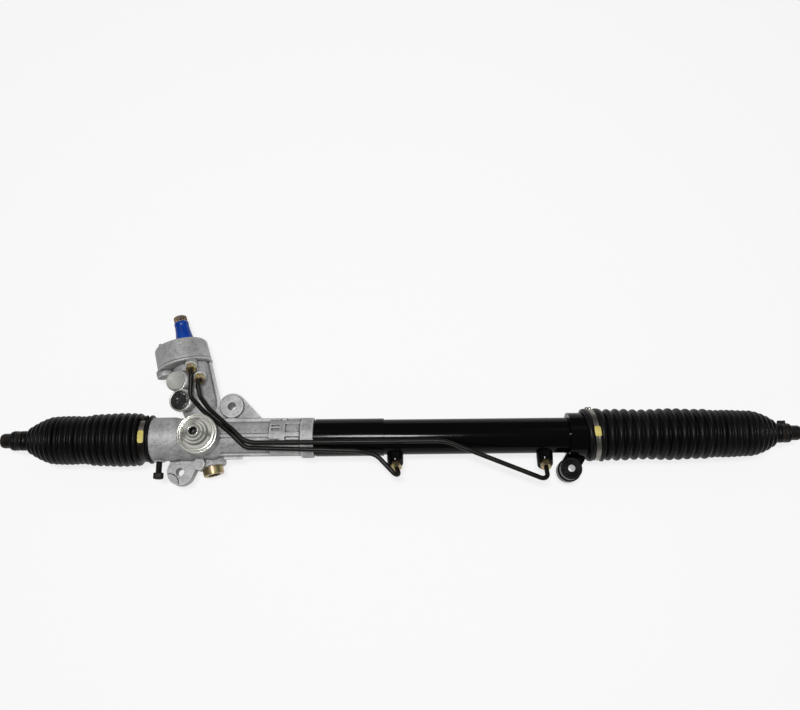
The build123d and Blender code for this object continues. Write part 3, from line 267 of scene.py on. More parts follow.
def castFinish():
    # sand-cast aluminium: speckled mid grey, with painted shade in its creases, a painted highlight on its convex
    # edges and brighter rubbed edges
    c = {
        # edge is both the rubbed-edge tone and the painted highlight on convex edges; crease is a painted shade
        # colour
        "dark": (0.30, 0.305, 0.30, 1), "pale": (0.52, 0.525, 0.52, 1), "edge": (0.75, 0.75, 0.73, 1),
        "pit": (0.12, 0.12, 0.12, 1), "crease_shade": (0.035, 0.035, 0.035, 1),
        "skin": (560.0, 210.0, 0.8, 34.0), "relief": (0.0007, 0.9), "rim": (0.0007, 0.2),
        # each mask: from low to high of what it reads, then of what it gives
        "pitted": (0.92, 0.70, 0.0, 0.5), "crease_shade_range": (0.496, 0.465, 0.0, 0.9), "edge_highlight_range": (0.506, 0.55, 0.0, 0.8),
        "rough": (0.4, 1.2, 0.42, 0.62),
    }
    finish, tree, shader = newFinish("cast aluminium", Metallic=0.35)
    sand = speckled(tree, *c["skin"])
    rim = wornEdges(tree, *c["rim"])
    bent = tree.nodes.new("ShaderNodeNewGeometry").outputs["Pointiness"]
    body = mixColours(tree, sand.outputs["Blotch"], c["dark"], c["pale"])
    body = mixColours(tree, spread(tree, sand.outputs["Height"], *c["pitted"]), body, c["pit"])
    # painted shade: concave creases, found by pointiness, are darkened
    body = mixColours(tree, spread(tree, bent, *c["crease_shade_range"]), body, c["crease_shade"])
    # painted highlight: convex edges, found by pointiness, are lightened
    body = mixColours(tree, spread(tree, bent, *c["edge_highlight_range"]), body, c["edge"])
    feed(tree, shader, (("Base Color", mixColours(tree, rim.outputs["Mask"], body, c["edge"])),
                        ("Roughness", spread(tree, sand.outputs["Height"], *c["rough"]))))
    bump(tree, shader, sand.outputs["Height"], *c["relief"])
    return finish


def turnedFinish(name, centre, axis, base, edge, rough):
    # bright turned metal with rings round the given axis
    c = {"pitch": 0.0011, "relief": (0.0001, 0.6), "gain": 1.25, "streaked": (0.3, 0.7)}
    finish, tree, shader = newFinish(name, Metallic=1.0)
    place = tree.nodes.new("ShaderNodeMapping")
    place.vector_type = "TEXTURE"
    feed(tree, place, (("Vector", objectPlace(tree)), ("Location", centre),
                       ("Rotation", Vector(axis).to_track_quat("Z", "Y").to_euler())))
    marks = placeGroup(tree, rings, Pitch=c["pitch"], Vector=place.outputs["Vector"])
    rim = wornEdges(tree)
    body = mixColours(tree, marks.outputs["Streak"], (*base, 1), toned(base, c["gain"]))
    feed(tree, shader, (("Base Color", mixColours(tree, rim.outputs["Mask"], body, edge)),
                        ("Roughness", spread(tree, marks.outputs["Streak"], *c["streaked"], *rough))))
    bump(tree, shader, marks.outputs["Height"], *c["relief"], rim.outputs["Normal"])
    return finish


def coatFinish(name, skin, tones, rough, relief, edge=None, edgeRadius=0.0004, drift=None, **sockets):
    # two tones in slow blotches, a roughness that goes with them and a fine relief; drift is a third
    # tone in patches (tone, scale, low, high), and edge is the tone that shows where edges are rubbed
    finish, tree, shader = newFinish(name, **sockets)
    sand = speckled(tree, *skin)
    body = mixColours(tree, sand.outputs["Blotch"], *tones)
    normal = None
    if drift:
        tone, scale, low, high = drift
        patches = spread(tree, noise(tree, objectPlace(tree), scale, 2.0), low, high)
        body = mixColours(tree, patches, body, tone)
    if edge:
        rim = wornEdges(tree, edgeRadius)
        body = mixColours(tree, rim.outputs["Mask"], body, edge)
        normal = rim.outputs["Normal"]
    feed(tree, shader, (("Base Color", body),
                        ("Roughness", spread(tree, sand.outputs["Blotch"], 0.0, 1.0, *rough))))
    bump(tree, shader, sand.outputs["Height"], *relief, normal)
    return finish


def steelFinish(name, base, roughness, blotch=0.25):
    # ground steel or a plated band: slow colour drift and small scuffs
    return coatFinish(name, (700.0, 120.0, 0.5, 70.0), (toned(base, 1 - blotch), (*base, 1)),
                      (roughness, roughness + 0.15), (0.00004, 0.5), toned(base, 1.5), Metallic=1.0)


def plasticFinish(name, dark, pale, roughness, grainDepth=0.00005, shine=0.5):
    return coatFinish(name, (700.0, 150.0, 0.7, 55.0), ((*dark, 1), (*pale, 1)), (roughness, roughness + 0.12),
                      (grainDepth, 0.5), toned(pale, 1.6, 0.01), Specular_IOR_Level=shine)


coats = {
    # yellow passivated zinc, drifting from straw to green and rose
    "yellow_zinc": {
        "name": "yellow zinc", "skin": (600.0, 110.0, 0.5, 90.0), "rough": (0.25, 0.42), "relief": (0.00005, 0.5),
        "tones": ((0.46, 0.36, 0.14, 1), (0.32, 0.33, 0.15, 1)), "drift": ((0.44, 0.30, 0.22, 1), 160.0, 0.42, 0.62),
        "edge": (0.8, 0.72, 0.5, 1), "Metallic": 1.0},
    # gloss black paint with orange peel, dust specks and rubbed edges
    "black_paint": {
        "name": "gloss black paint", "skin": (420.0, 90.0, 1.2, 14.0), "rough": (0.09, 0.16),
        "relief": (0.00005, 0.5), "tones": ((0.002, 0.002, 0.0022, 1), (0.002, 0.002, 0.0022, 1)),
        "drift": ((0.02, 0.02, 0.02, 1), 850.0, 0.72, 0.78), "edge": (0.012, 0.012, 0.012, 1),
        "edgeRadius": 0.0006, "Specular_IOR_Level": 0.08},
    # olive-black coated steel pipe
    "pipe_coat": {
        "name": "coated pipe", "skin": (800.0, 160.0, 0.8, 60.0), "rough": (0.3, 0.42), "relief": (0.00008, 0.5),
        "tones": ((0.003, 0.003, 0.0025, 1), (0.011, 0.0105, 0.008, 1)), "Specular_IOR_Level": 0.16},
    # moulded black rubber: a faint bloom in the slow blotches, fine pores
    "rubber": {
        "name": "moulded rubber", "skin": (900.0, 200.0, 0.6, 26.0), "rough": (0.34, 0.46), "relief": (0.00006, 0.5),
        "tones": ((0.0018, 0.0018, 0.0019, 1), (0.005, 0.005, 0.0053, 1)), "Specular_IOR_Level": 0.13},
    # black oxide going brown, as on the tie rod ends
    "black_oxide": {
        "name": "black oxide", "skin": (600.0, 130.0, 1.0, 80.0), "rough": (0.35, 0.55), "relief": (0.00012, 0.6),
        "tones": ((0.003, 0.0028, 0.0027, 1), (0.014, 0.010, 0.007, 1)), "edge": (0.06, 0.05, 0.04, 1),
        "edgeRadius": 0.0005, "Metallic": 0.1, "Specular_IOR_Level": 0.25},
}
finishes = {slot: coatFinish(**coat) for slot, coat in coats.items()}
finishes.update({
    "cast": castFinish(),
    "machined": turnedFinish("turned aluminium", yokeCentre, (0, 0, 1), (0.50, 0.50, 0.455),
                             (0.85, 0.85, 0.83, 1), (0.26, 0.40)),
    "steel": steelFinish("ground steel", (0.52, 0.52, 0.53), 0.22),
    "band_steel": steelFinish("band steel", (0.30, 0.285, 0.25), 0.26, 0.5),
    "bronze": steelFinish("sintered bronze", (0.42, 0.27, 0.13), 0.34, 0.75),
    "seal": plasticFinish("seal rubber", (0.02, 0.02, 0.02), (0.05, 0.05, 0.05), 0.5),
    "blue_plastic": plasticFinish("blue plastic", (0.001, 0.020, 0.17), (0.002, 0.050, 0.34), 0.22, 0.00012, 0.25),
    "black_plastic": plasticFinish("black plastic", (0.004, 0.004, 0.004), (0.03, 0.03, 0.03), 0.20, 0.0004),
    "grey_plastic": plasticFinish("grey plastic", (0.30, 0.30, 0.28), (0.44, 0.44, 0.41), 0.42, 0.00012),
    "white_plastic": plasticFinish("white plastic", (0.62, 0.62, 0.58), (0.75, 0.75, 0.7), 0.4),
    "yellow_dab": plasticFinish("yellow dab", (0.42, 0.33, 0.05), (0.66, 0.56, 0.16), 0.3),
})
print("finishes:", len(finishes))


# the CAD pieces that stay, each with the finish of its slot
slotOf = {row["node"]: row["material_slot"] for row in frame["record"]["subparts"]}
for name, item in frame["nodes"].items():
    item.data.materials.clear()
    item.data.materials.append(finishes[slotOf[name]])
print("CAD pieces finished")


# helpers for the modelled pieces
seamGap, pointGap = 0.000002, 0.000001      # points nearer than this are welded


def facing(origin, axis):
    # a placement whose local Z runs along the axis
    spin = Vector(axis).to_track_quat("Z", "Y").to_matrix().to_4x4()
    return Matrix.Translation(Vector(origin)) @ spin


def keep(name, mesh, body, slot, replaced=(), smooth=True):
    item = addObject(name, mesh)
    settle(item, body, slot, replaced, smooth)


def settle(item, body, slot, replaced=(), smooth=True):
    if not item.data.materials:
        item.data.materials.append(finishes[slot])
    for face in item.data.polygons:
        face.use_smooth = smooth
    if body:
        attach(item, body)
    if replaced:
        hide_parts(*replaced)


def newTree(name, inputs):
    return newGroup(name, inputs, [("Geometry", "NodeSocketGeometry")], "GeometryNodeTree")


def grow(name, tree, values, place):
    # runs a node tree once, keeps its plain mesh and sets it in place
    item = addObject(name, bpy.data.meshes.new(name))
    modifier = item.modifiers.new("grow", "NODES")
    modifier.node_group = tree
    for socket in tree.interface.items_tree:
        if socket.in_out == "INPUT" and socket.name in values:
            modifier[socket.identifier] = values[socket.name]
    mesh = frozen(item)
    mesh.name = name
    mesh.transform(place)
    return item


def frozen(item):
    # the mesh that an object's modifiers give takes their place
    item.data = bpy.data.meshes.new_from_object(item.evaluated_get(bpy.context.evaluated_depsgraph_get()))
    item.modifiers.clear()
    return item.data


def growPiece(name, tree, values, place, body, slot, replaced=()):
    item = grow(name, tree, {**values, "Finish": finishes[slot]}, place)
    settle(item, body, slot, replaced)
    return item


def combine(tree, x, y, z):
    node = tree.nodes.new("ShaderNodeCombineXYZ")
    feed(tree, node, enumerate((x, y, z)))
    return node.outputs[0]


def closeTree(tree, start, end, mesh):
    # weld the seams, set the finish, and hand the geometry over
    weld = tree.nodes.new("GeometryNodeMergeByDistance")
    plain = tree.nodes.new("GeometryNodeRealizeInstances")
    paint = tree.nodes.new("GeometryNodeSetMaterial")
    feed(tree, weld, (("Distance", seamGap), ("Geometry", mesh)))
    feed(tree, plain, [("Geometry", weld.outputs["Geometry"])])
    feed(tree, paint, (("Geometry", plain.outputs["Geometry"]), ("Material", start.outputs["Finish"])))
    feed(tree, end, [("Geometry", paint.outputs["Geometry"])])


def shellGrid(tree, start):
    # a grid whose rows go out along the skin and back inside it; gives the mesh, the share of
    # the way along, a mask of the inner skin and the angle
    rows, sides = start.outputs["Rows"], start.outputs["Sides"]
    loop = maths(tree, "MULTIPLY", rows, 2.0)
    grid = tree.nodes.new("GeometryNodeMeshGrid")
    feed(tree, grid, (("Size X", 1.0), ("Size Y", 1.0), ("Vertices X", maths(tree, "ADD", loop, 1.0)),
                      ("Vertices Y", maths(tree, "ADD", sides, 1.0))))
    spot = tree.nodes.new("ShaderNodeSeparateXYZ")
    feed(tree, spot, [(0, tree.nodes.new("GeometryNodeInputPosition").outputs[0])])
    number = maths(tree, "ROUND", maths(tree, "MULTIPLY", maths(tree, "ADD", spot.outputs["X"], 0.5), loop))
    last = maths(tree, "SUBTRACT", rows, 1.0)
    there = maths(tree, "DIVIDE", number, last)
    back = maths(tree, "DIVIDE", maths(tree, "SUBTRACT", maths(tree, "SUBTRACT", loop, 1.0), number), last)
    share = maths(tree, "MAXIMUM", maths(tree, "MINIMUM", there, back), 0.0)
    beyond = maths(tree, "GREATER_THAN", number, maths(tree, "SUBTRACT", rows, 0.5))
    before = maths(tree, "LESS_THAN", number, maths(tree, "SUBTRACT", loop, 0.5))
    inside = maths(tree, "MULTIPLY", beyond, before)
    angle = maths(tree, "MULTIPLY", maths(tree, "ADD", spot.outputs["Y"], 0.5), 2 * pi)
    return grid.outputs["Mesh"], share, inside, angle


def bendGrid(tree, mesh, radius, height, angle):
    x = maths(tree, "MULTIPLY", radius, maths(tree, "COSINE", angle))
    y = maths(tree, "MULTIPLY", radius, maths(tree, "SINE", angle))
    move = tree.nodes.new("GeometryNodeSetPosition")
    feed(tree, move, (("Geometry", mesh), ("Position", combine(tree, x, y, height))))
    return move.outputs["Geometry"]


def makeBellows():
    # folds along Z: wide ones up to a place, narrow ones beyond it, tapering to the hem
    swellRate = 90.0
    tree, start, end = newTree("bellows", [
        ("Rows", whole, 120), ("Sides", whole, 112),
        ("From", real, 0.0), ("To", real, 0.1), ("Wide Pitch", real, 0.009), ("Wide End", real, 0.05),
        ("Narrow Pitch", real, 0.0067), ("Wide Crest", real, 0.034), ("Narrow Crest", real, 0.031),
        ("Wide Depth", real, 0.005), ("Narrow Depth", real, 0.003), ("Taper Start", real, 0.1),
        ("Taper End", real, 0.14), ("Taper Drop", real, 0.015), ("Taper Power", real, 1.5),
        ("Roundness", real, 0.65), ("Swell", real, 0.0006), ("Wall", real, 0.0018),
        ("Finish", "NodeSocketMaterial", None)])
    get = start.outputs
    mesh, share, inside, angle = shellGrid(tree, start)
    length = maths(tree, "SUBTRACT", get["To"], get["From"])
    height = maths(tree, "ADD", get["From"], maths(tree, "MULTIPLY", share, length))
    past = maths(tree, "GREATER_THAN", height, get["Wide End"])
    wide = maths(tree, "DIVIDE", height, get["Wide Pitch"])
    narrow = maths(tree, "DIVIDE", maths(tree, "SUBTRACT", height, get["Wide End"]), get["Narrow Pitch"])
    phase = mixValues(tree, past, wide, narrow)
    wave = maths(tree, "ABSOLUTE", maths(tree, "SINE", maths(tree, "MULTIPLY", phase, pi)))
    crown = maths(tree, "POWER", wave, get["Roundness"])
    step = spread(tree, height, maths(tree, "SUBTRACT", get["Wide End"], get["Narrow Pitch"]),
                  maths(tree, "ADD", get["Wide End"], get["Narrow Pitch"]))
    crest = mixValues(tree, step, get["Wide Crest"], get["Narrow Crest"])
    depth = mixValues(tree, step, get["Wide Depth"], get["Narrow Depth"])
    fall = spread(tree, height, get["Taper Start"], get["Taper End"])
    drop = maths(tree, "MULTIPLY", maths(tree, "POWER", fall, get["Taper Power"]), get["Taper Drop"])
    slow = maths(tree, "MULTIPLY", maths(tree, "SINE", maths(tree, "MULTIPLY", height, swellRate)), get["Swell"])
    radius = maths(tree, "ADD", maths(tree, "SUBTRACT", crest, drop), slow)
    radius = maths(tree, "SUBTRACT", radius, maths(tree, "MULTIPLY", depth, maths(tree, "SUBTRACT", 1.0, crown)))
    radius = maths(tree, "SUBTRACT", radius, maths(tree, "MULTIPLY", inside, get["Wall"]))
    closeTree(tree, start, end, bendGrid(tree, mesh, radius, height, angle))
    return tree


def mixValues(tree, share, first, second):
    gap = maths(tree, "SUBTRACT", second, first)
    return maths(tree, "MULTIPLY_ADD", share, gap, first)


def turned(name, profile, place, sides=128, socket=()):
    # a closed outline (radius, height) turned about local Z; points named in socket are drawn six-sided
    points = []
    for n in range(sides):
        angle = 2 * pi * n / sides
        flat = cos(pi / 6) / cos((angle % (pi / 3)) - pi / 6)
        ring = [(r * flat if k in socket else r, z) for k, (r, z) in enumerate(profile)]
        points += [(r * cos(angle), r * sin(angle), z) for r, z in ring]
    return faceOut(meshFrom(name, points, bridge(sides, len(profile)), place))


def bridge(rings, size, closed=True):
    # four-sided faces between rings of points that follow one another
    faces = []
    for n in range(rings if closed else rings - 1):
        here, there = n * size, (n + 1) % rings * size
        faces += [(here + k, there + k, there + (k + 1) % size, here + (k + 1) % size) for k in range(size)]
    return faces


def meshFrom(name, points, faces, place):
    mesh = bpy.data.meshes.new(name)
    mesh.from_pydata(points, [], faces)
    mesh.transform(place)
    return mesh


def faceOut(mesh):
    # poles are welded, and every face turned outward
    work = bmesh.new()
    work.from_mesh(mesh)
    bmesh.ops.remove_doubles(work, verts=work.verts, dist=pointGap)
    bmesh.ops.recalc_face_normals(work, faces=work.faces)
    work.to_mesh(mesh)
    work.free()
    return mesh


def makeToothed():
    # a collar with straight teeth round it, chamfered at both ends
    tree, start, end = newTree("toothed collar", [
        ("Rows", whole, 12), ("Sides", whole, 384), ("Teeth", whole, 48),
        ("Depth", real, 0.0003), ("Outer", real, 0.0065), ("Inner", real, 0.004), ("From", real, 0.0),
        ("To", real, 0.008), ("Chamfer", real, 0.0008), ("Finish", "NodeSocketMaterial", None)])
    get = start.outputs
    mesh, share, inside, angle = shellGrid(tree, start)
    length = maths(tree, "SUBTRACT", get["To"], get["From"])
    height = maths(tree, "MULTIPLY_ADD", share, length, get["From"])
    turn = maths(tree, "DIVIDE", maths(tree, "MULTIPLY", angle, get["Teeth"]), 2 * pi)
    gap = maths(tree, "MULTIPLY", maths(tree, "PINGPONG", turn, 0.5), get["Depth"])
    gap = maths(tree, "MULTIPLY", gap, 2.0)
    low = maths(tree, "SUBTRACT", height, get["From"])
    high = maths(tree, "SUBTRACT", get["To"], height)
    edge = maths(tree, "MINIMUM", maths(tree, "MINIMUM", low, high), get["Chamfer"])
    cut = maths(tree, "SUBTRACT", get["Chamfer"], edge)
    outer = maths(tree, "SUBTRACT", maths(tree, "SUBTRACT", get["Outer"], gap), cut)
    closeTree(tree, start, end, bendGrid(tree, mesh, mixValues(tree, inside, outer, get["Inner"]), height, angle))
    return tree


def makeThread():
    # a ridge wound round local Z
    tree, start, end = newTree("thread", [
        ("Turns", real, 10.0), ("Pitch", real, 0.00125), ("Radius", real, 0.0036), ("Ridge", real, 0.00055),
        ("Finish", "NodeSocketMaterial", None)])
    get = start.outputs
    spiral = tree.nodes.new("GeometryNodeCurveSpiral")
    feed(tree, spiral, (("Resolution", 28), ("Rotations", get["Turns"]), ("Start Radius", get["Radius"]),
                        ("End Radius", get["Radius"]),
                        ("Height", maths(tree, "MULTIPLY", get["Turns"], get["Pitch"]))))
    ridge = tree.nodes.new("GeometryNodeCurvePrimitiveCircle")
    feed(tree, ridge, (("Resolution", 4), ("Radius", get["Ridge"])))
    sweep = tree.nodes.new("GeometryNodeCurveToMesh")
    feed(tree, sweep, (("Fill Caps", True), ("Curve", spiral.outputs["Curve"]),
                       ("Profile Curve", ridge.outputs["Curve"])))
    closeTree(tree, start, end, sweep.outputs["Mesh"])
    return tree


# the rubber bellows: each in stretches that meet in a valley, with a cuff and a hem
bellowsTree = makeBellows()
bellowsGrid = {"sides": 120, "rowsPerFold": 11, "fewestRows": 36}
leanRun = 0.006     # the lean grows to its full share over this length
leftBoot = {
    "side": "left", "sign": -1, "start": -0.0554, "first": 0.07393, "second": 0.10080, "last": 0.14110,
    "cuff": ((0.02335, -0.0203), (0.0292, -0.0203), (0.0307, -0.0200), (0.0315, -0.0192), (0.0313, -0.0181),
             (0.0303, -0.0172), (0.0286, -0.0168), (0.0282, -0.0164), (0.0282, -0.0070), (0.0288, -0.0064),
             (0.0312, -0.0058), (0.0333, -0.0047), (0.0340, -0.0030), (0.0332, -0.0014), (0.0312, -0.0004),
             (0.0291, 0.0), (0.0273, 0.0), (0.0262, -0.0022), (0.0246, -0.0040), (0.02335, -0.0048)),
    "hem": ((0.0119, 0.0), (0.0120, 0.0030), (0.0128, 0.0040), (0.0127, 0.0056), (0.0116, 0.0060),
            (0.0116, 0.0162), (0.0126, 0.0166), (0.0128, 0.0186), (0.0121, 0.0215), (0.0071, 0.0215),
            (0.0071, 0.0060), (0.0101, 0.0)),
    "shape": {"Wide Pitch": 0.008643, "Wide End": 0.0605, "Narrow Pitch": 0.006717, "Wide Crest": 0.0343,
              "Narrow Crest": 0.0311, "Wide Depth": 0.0052, "Narrow Depth": 0.0036, "Taper Start": 0.1075,
              "Taper End": 0.1411, "Taper Drop": 0.0156, "Taper Power": 1.55},
}
rightBoot = {
    "side": "right", "sign": 1, "start": 0.5476, "first": 0.1518, "second": 0.1806, "last": 0.2238,
    "cuff": ((0.02335, -0.0188), (0.0287, -0.0190), (0.0289, -0.0238), (0.0310, -0.0242), (0.0332, -0.0236),
             (0.0340, -0.0220), (0.0341, -0.0196), (0.0334, -0.0178), (0.0322, -0.0170), (0.0318, -0.0166),
             (0.0318, -0.0094), (0.0322, -0.0090), (0.0334, -0.0083), (0.0344, -0.0068), (0.0345, -0.0046),
             (0.0335, -0.0024), (0.0310, -0.0008), (0.0271, 0.0), (0.0253, 0.0), (0.0245, -0.0020),
             (0.02335, -0.0036)),
    "lean": 0.103,
    "hem": ((0.0116, 0.0), (0.0118, 0.0030), (0.0127, 0.0038), (0.0126, 0.0052), (0.0116, 0.0055),
            (0.0116, 0.0156), (0.0124, 0.0160), (0.0124, 0.0176), (0.0118, 0.0187), (0.0071, 0.0187),
            (0.0071, 0.0060), (0.0098, 0.0)),
    "shape": {"Wide Pitch": 0.01145, "Wide End": 0.1374, "Narrow Pitch": 0.0072, "Wide Crest": 0.0331,
              "Narrow Crest": 0.0303, "Wide Depth": 0.0060, "Narrow Depth": 0.0034, "Taper Start": 0.1900,
              "Taper End": 0.2238, "Taper Drop": 0.0153, "Taper Power": 1.6},
}


def leanRing(mesh, lean, start, sign):
    # slides a ring's foot along the bar and its top back, less so close to the start
    for vertex in mesh.vertices:
        share = min(1.0, max(0.0, (start - vertex.co.x) * sign / leanRun))
        vertex.co.x += lean * share * (barY - vertex.co.y)


def makeBoot(c):
    side, sign, node = c["side"], c["sign"], c["side"] + "_boot"
    seat, rod = side + "_ball_seat", side + "_tie_rod"
    place = facing((c["start"], barY, barZ), (sign, 0, 0))
    spans = ((0.0, c["first"], "housing", "rack"), (c["first"], c["second"], "rack", seat),
             (c["second"], c["last"], seat, rod))
    pitch = c["shape"]["Narrow Pitch"]
    for number, (near, far, before, after) in enumerate(spans):
        rows = max(bellowsGrid["fewestRows"], round((far - near) / pitch * bellowsGrid["rowsPerFold"]))
        values = {**c["shape"], "From": near, "To": far, "Rows": rows, "Sides": bellowsGrid["sides"]}
        item = growPiece(f"{side}_bellows_{number + 1}", bellowsTree, values, place, None, "rubber", (node,))
        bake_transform(item)
    cuff = turned(f"{side}_boot_cuff", c["cuff"], place)
    leanRing(cuff, c.get("lean", 0.0), c["start"], sign)
    keep(f"{side}_boot_cuff", cuff, "housing", "rubber", (node,))
    hemPlace = place @ Matrix.Translation((0, 0, c["last"]))
    keep(f"{side}_boot_hem", turned(f"{side}_boot_hem", c["hem"], hemPlace), rod, "rubber", (node,))


makeBoot(leftBoot)
makeBoot(rightBoot)
print("bellows made")


# band clamps: a strip bent round its seat, with a pinched ear
earWaist = 0.45     # as a share of the ear's height
# half the ear's outline: what it is counted from, how far out, and how wide as a share of its half width
earOutline = (("foot", 0.0004, 0.86), ("waist", 0.0, 0.74), ("top", -0.0012, 0.95), ("top", -0.0003, 0.8),
              ("top", 0.0, 0.5), ("top", -0.0002, 0.0))


def bandLoop(radius, earWidth, earHeight, sides=120):
    # centre of the strip's inner face: a circle with an ear on local +X
    half = earWidth / 2
    first = half / radius
    angles = [first + (2 * pi - 2 * first) * n / sides for n in range(sides + 1)]
    loop = [(radius * cos(angle), radius * sin(angle)) for angle in angles]
    foot = loop[0][0]
    levels = {"foot": foot, "waist": foot + earHeight * earWaist, "top": radius + earHeight}
    rise = [(levels[level] + out, -half * wide) for level, out, wide in earOutline]
    return loop + rise + [(x, -y) for x, y in reversed(rise[:-1])]


def sweepBand(name, loop, section, place):
    # carries a closed section (outward, across) along a closed loop in the local XY plane
    points = []
    for n, (x, y) in enumerate(loop):
        before, after = Vector(loop[n - 1]), Vector(loop[(n + 1) % len(loop)])
        along = (after - before).normalized()
        out = Vector((along.y, -along.x))
        points += [(x + out.x * o, y + out.y * o, z) for o, z in section]
    return faceOut(meshFrom(name, points, bridge(len(loop), len(section)), place))


def stripSection(width, thickness, lip):
    # flat in the middle, with a raised lip along both edges; the shares are of the thickness
    softShare, footShare, topShare = 0.35, 3, 2.2
    half, soft, outer = width / 2, thickness * softShare, thickness + lip
    lipFoot, lipTop = half - footShare * thickness, half - topShare * thickness
    return ((0, -half + soft), (soft, -half), (outer - soft, -half), (outer, -half + soft), (outer, -lipTop),
            (thickness, -lipFoot), (thickness, lipFoot), (outer, lipTop), (outer, half - soft),
            (outer - soft, half), (soft, half), (0, half - soft))


clampSet = {
    "big": {"thickness": 0.0008, "lip": 0.0004, "earWidth": 0.0072, "earHeight": 0.0034},
    "tongue": {"gap": 0.00005, "low": radians(12), "high": radians(12) + radians(52), "halfShare": 0.34},
    "patch": {"gap": 0.0009, "thickness": 0.0005},
    "hem": {"radius": 0.01166, "width": 0.0086, "thickness": 0.0008, "lip": 0.0002, "earWidth": 0.0056,
            "earHeight": 0.0036, "sides": 72},
    # patch: its first and last angle, and its width
    "bigPlaces": (
        {"name": "left_big_clamp", "x": -0.0437, "ear": radians(57), "radius": 0.02825, "width": 0.0090,
         "slot": "black_oxide", "lean": 0.0, "start": 0.0, "patch": (radians(-13), radians(18), 0.0074)},
        {"name": "right_big_clamp", "x": 0.5346, "ear": radians(88), "radius": 0.03185, "width": 0.0066,
         "slot": "band_steel", "lean": 0.103, "start": 0.5476, "patch": (radians(-9), radians(13), 0.0080)},
    ),
    "hemPlaces": (
        {"name": "left_hem_band", "x": -0.2080, "ear": radians(160), "body": "left_tie_rod",
         "node": "left_hem_clamp"},
        {"name": "right_hem_band", "x": 0.7820, "ear": radians(90), "body": "right_tie_rod",
         "node": "right_hem_clamp"},
    ),
}


def makeClamps(c):
    # the ear's angle is counted from +Z, the side that faces the camera, towards +Y
    big, tongue, patch, hem = c["big"], c["tongue"], c["patch"], c["hem"]
    for row in c["bigPlaces"]:
        name, place = row["name"], clampPlace(row["x"], row["ear"])
        outer = row["radius"] + big["thickness"]
        loop = bandLoop(row["radius"], big["earWidth"], big["earHeight"])
        section = stripSection(row["width"], big["thickness"], big["lip"])
        band = sweepBand(name, loop, section, place)
        lap = strap(name, place, outer + tongue["gap"], big["thickness"], row["width"] * tongue["halfShare"],
                    tongue["low"], tongue["high"])
        low, high, width = row["patch"]
        mark = strap(name, clampPlace(row["x"], 0.0), outer + patch["gap"], patch["thickness"], width / 2, low, high)
        mark.materials.append(finishes["yellow_dab"])
        for mesh in (band, lap, mark):
            leanRing(mesh, row["lean"], row["start"], 1)
        keep(name, band, "housing", row["slot"], ("big_clamps",))
        keep(name + "_tongue", lap, "housing", "band_steel", smooth=False)
        keep(name + "_patch", mark, "housing", "yellow_zinc", smooth=False)
    section = stripSection(hem["width"], hem["thickness"], hem["lip"])
    loop = bandLoop(hem["radius"], hem["earWidth"], hem["earHeight"], hem["sides"])
    for row in c["hemPlaces"]:
        mesh = sweepBand(row["name"], loop, section, clampPlace(row["x"], row["ear"]))
        keep(row["name"], mesh, row["body"], "black_oxide", (row["node"],))


def clampPlace(x, ear):
    # local X is the ear's direction, local Z runs along the bar
    out = Vector((0, sin(ear), cos(ear)))
    along = Vector((1, 0, 0))
    turn = Matrix((out, along.cross(out), along)).transposed()
    return Matrix.Translation((x, barY, barZ)) @ turn.to_4x4()


def strap(name, place, inner, thickness, half, low, high, steps=40):
    # a short strip lapped over a band, narrowed towards both its ends
    slim, power = 0.45, 8
    outer = inner + thickness
    points = []
    for n in range(steps + 1):
        angle = low + (high - low) * n / steps
        narrow = half * (1 - slim * abs(2 * n / steps - 1) ** power)
        points += [(radius * cos(angle), radius * sin(angle), across) for radius, across in
                   ((inner, -narrow), (outer, -narrow), (outer, narrow), (inner, narrow))]
    faces = bridge(steps + 1, 4, False) + [(3, 2, 1, 0), tuple(steps * 4 + k for k in range(4))]
    return faceOut(meshFrom(name, points, faces, place))


makeClamps(clampSet)
print("clamps made")


# the blue guard: a sleeve that flares into a skirt inside the cup
guard = {
    # radius, height along the tower's axis
    "profile": ((0.00860, 0.1175), (0.0155, 0.1175), (0.0158, 0.1181), (0.0151, 0.1220), (0.0138, 0.1330),
                (0.0122, 0.1440), (0.0111, 0.1500), (0.0102, 0.1560), (0.0096, 0.1630), (0.0094, 0.1650),
                (0.0097, 0.1655), (0.0097, 0.1690), (0.0092, 0.1700), (0.00860, 0.1700)),
}


def makeGuard(c):
    mesh = turned("guard_sleeve", c["profile"], facing(towerFoot, towerAxis))
    keep("guard_sleeve", mesh, "input_shaft", "blue_plastic", ("shaft_guard",))


makeGuard(guard)
print("guard made")


# the centring screw under the neck, and the serrated shaft end
toothedTree, threadTree = makeToothed(), makeThread()
screw = {
    "foot": (-0.0260, 0.0124, 0.0220), "axis": (0, -1, 0), "length": 0.0138, "headHeight": 0.0080,
    "shank": 0.00335, "buried": 0.004, "headRadius": 0.0065, "chamfer": (0.0009, 0.0006),
    "socketRadius": 0.0035, "socketDepth": 0.0046, "socketSoft": 0.0003, "socketPoint": 0.0012,
    "pitch": 0.00125, "ridge": 0.00060, "ridgeLift": 0.0001, "threadBuried": 0.0035, "threadRunOn": 0.003,
    "teeth": 44, "toothDepth": 0.00028, "knurlHeight": 0.0005, "knurlRoot": 0.0006, "knurlLow": 0.0002,
    "knurlHigh": 0.0004, "knurlChamfer": 0.0006, "rows": 16, "toothSteps": 6,
}


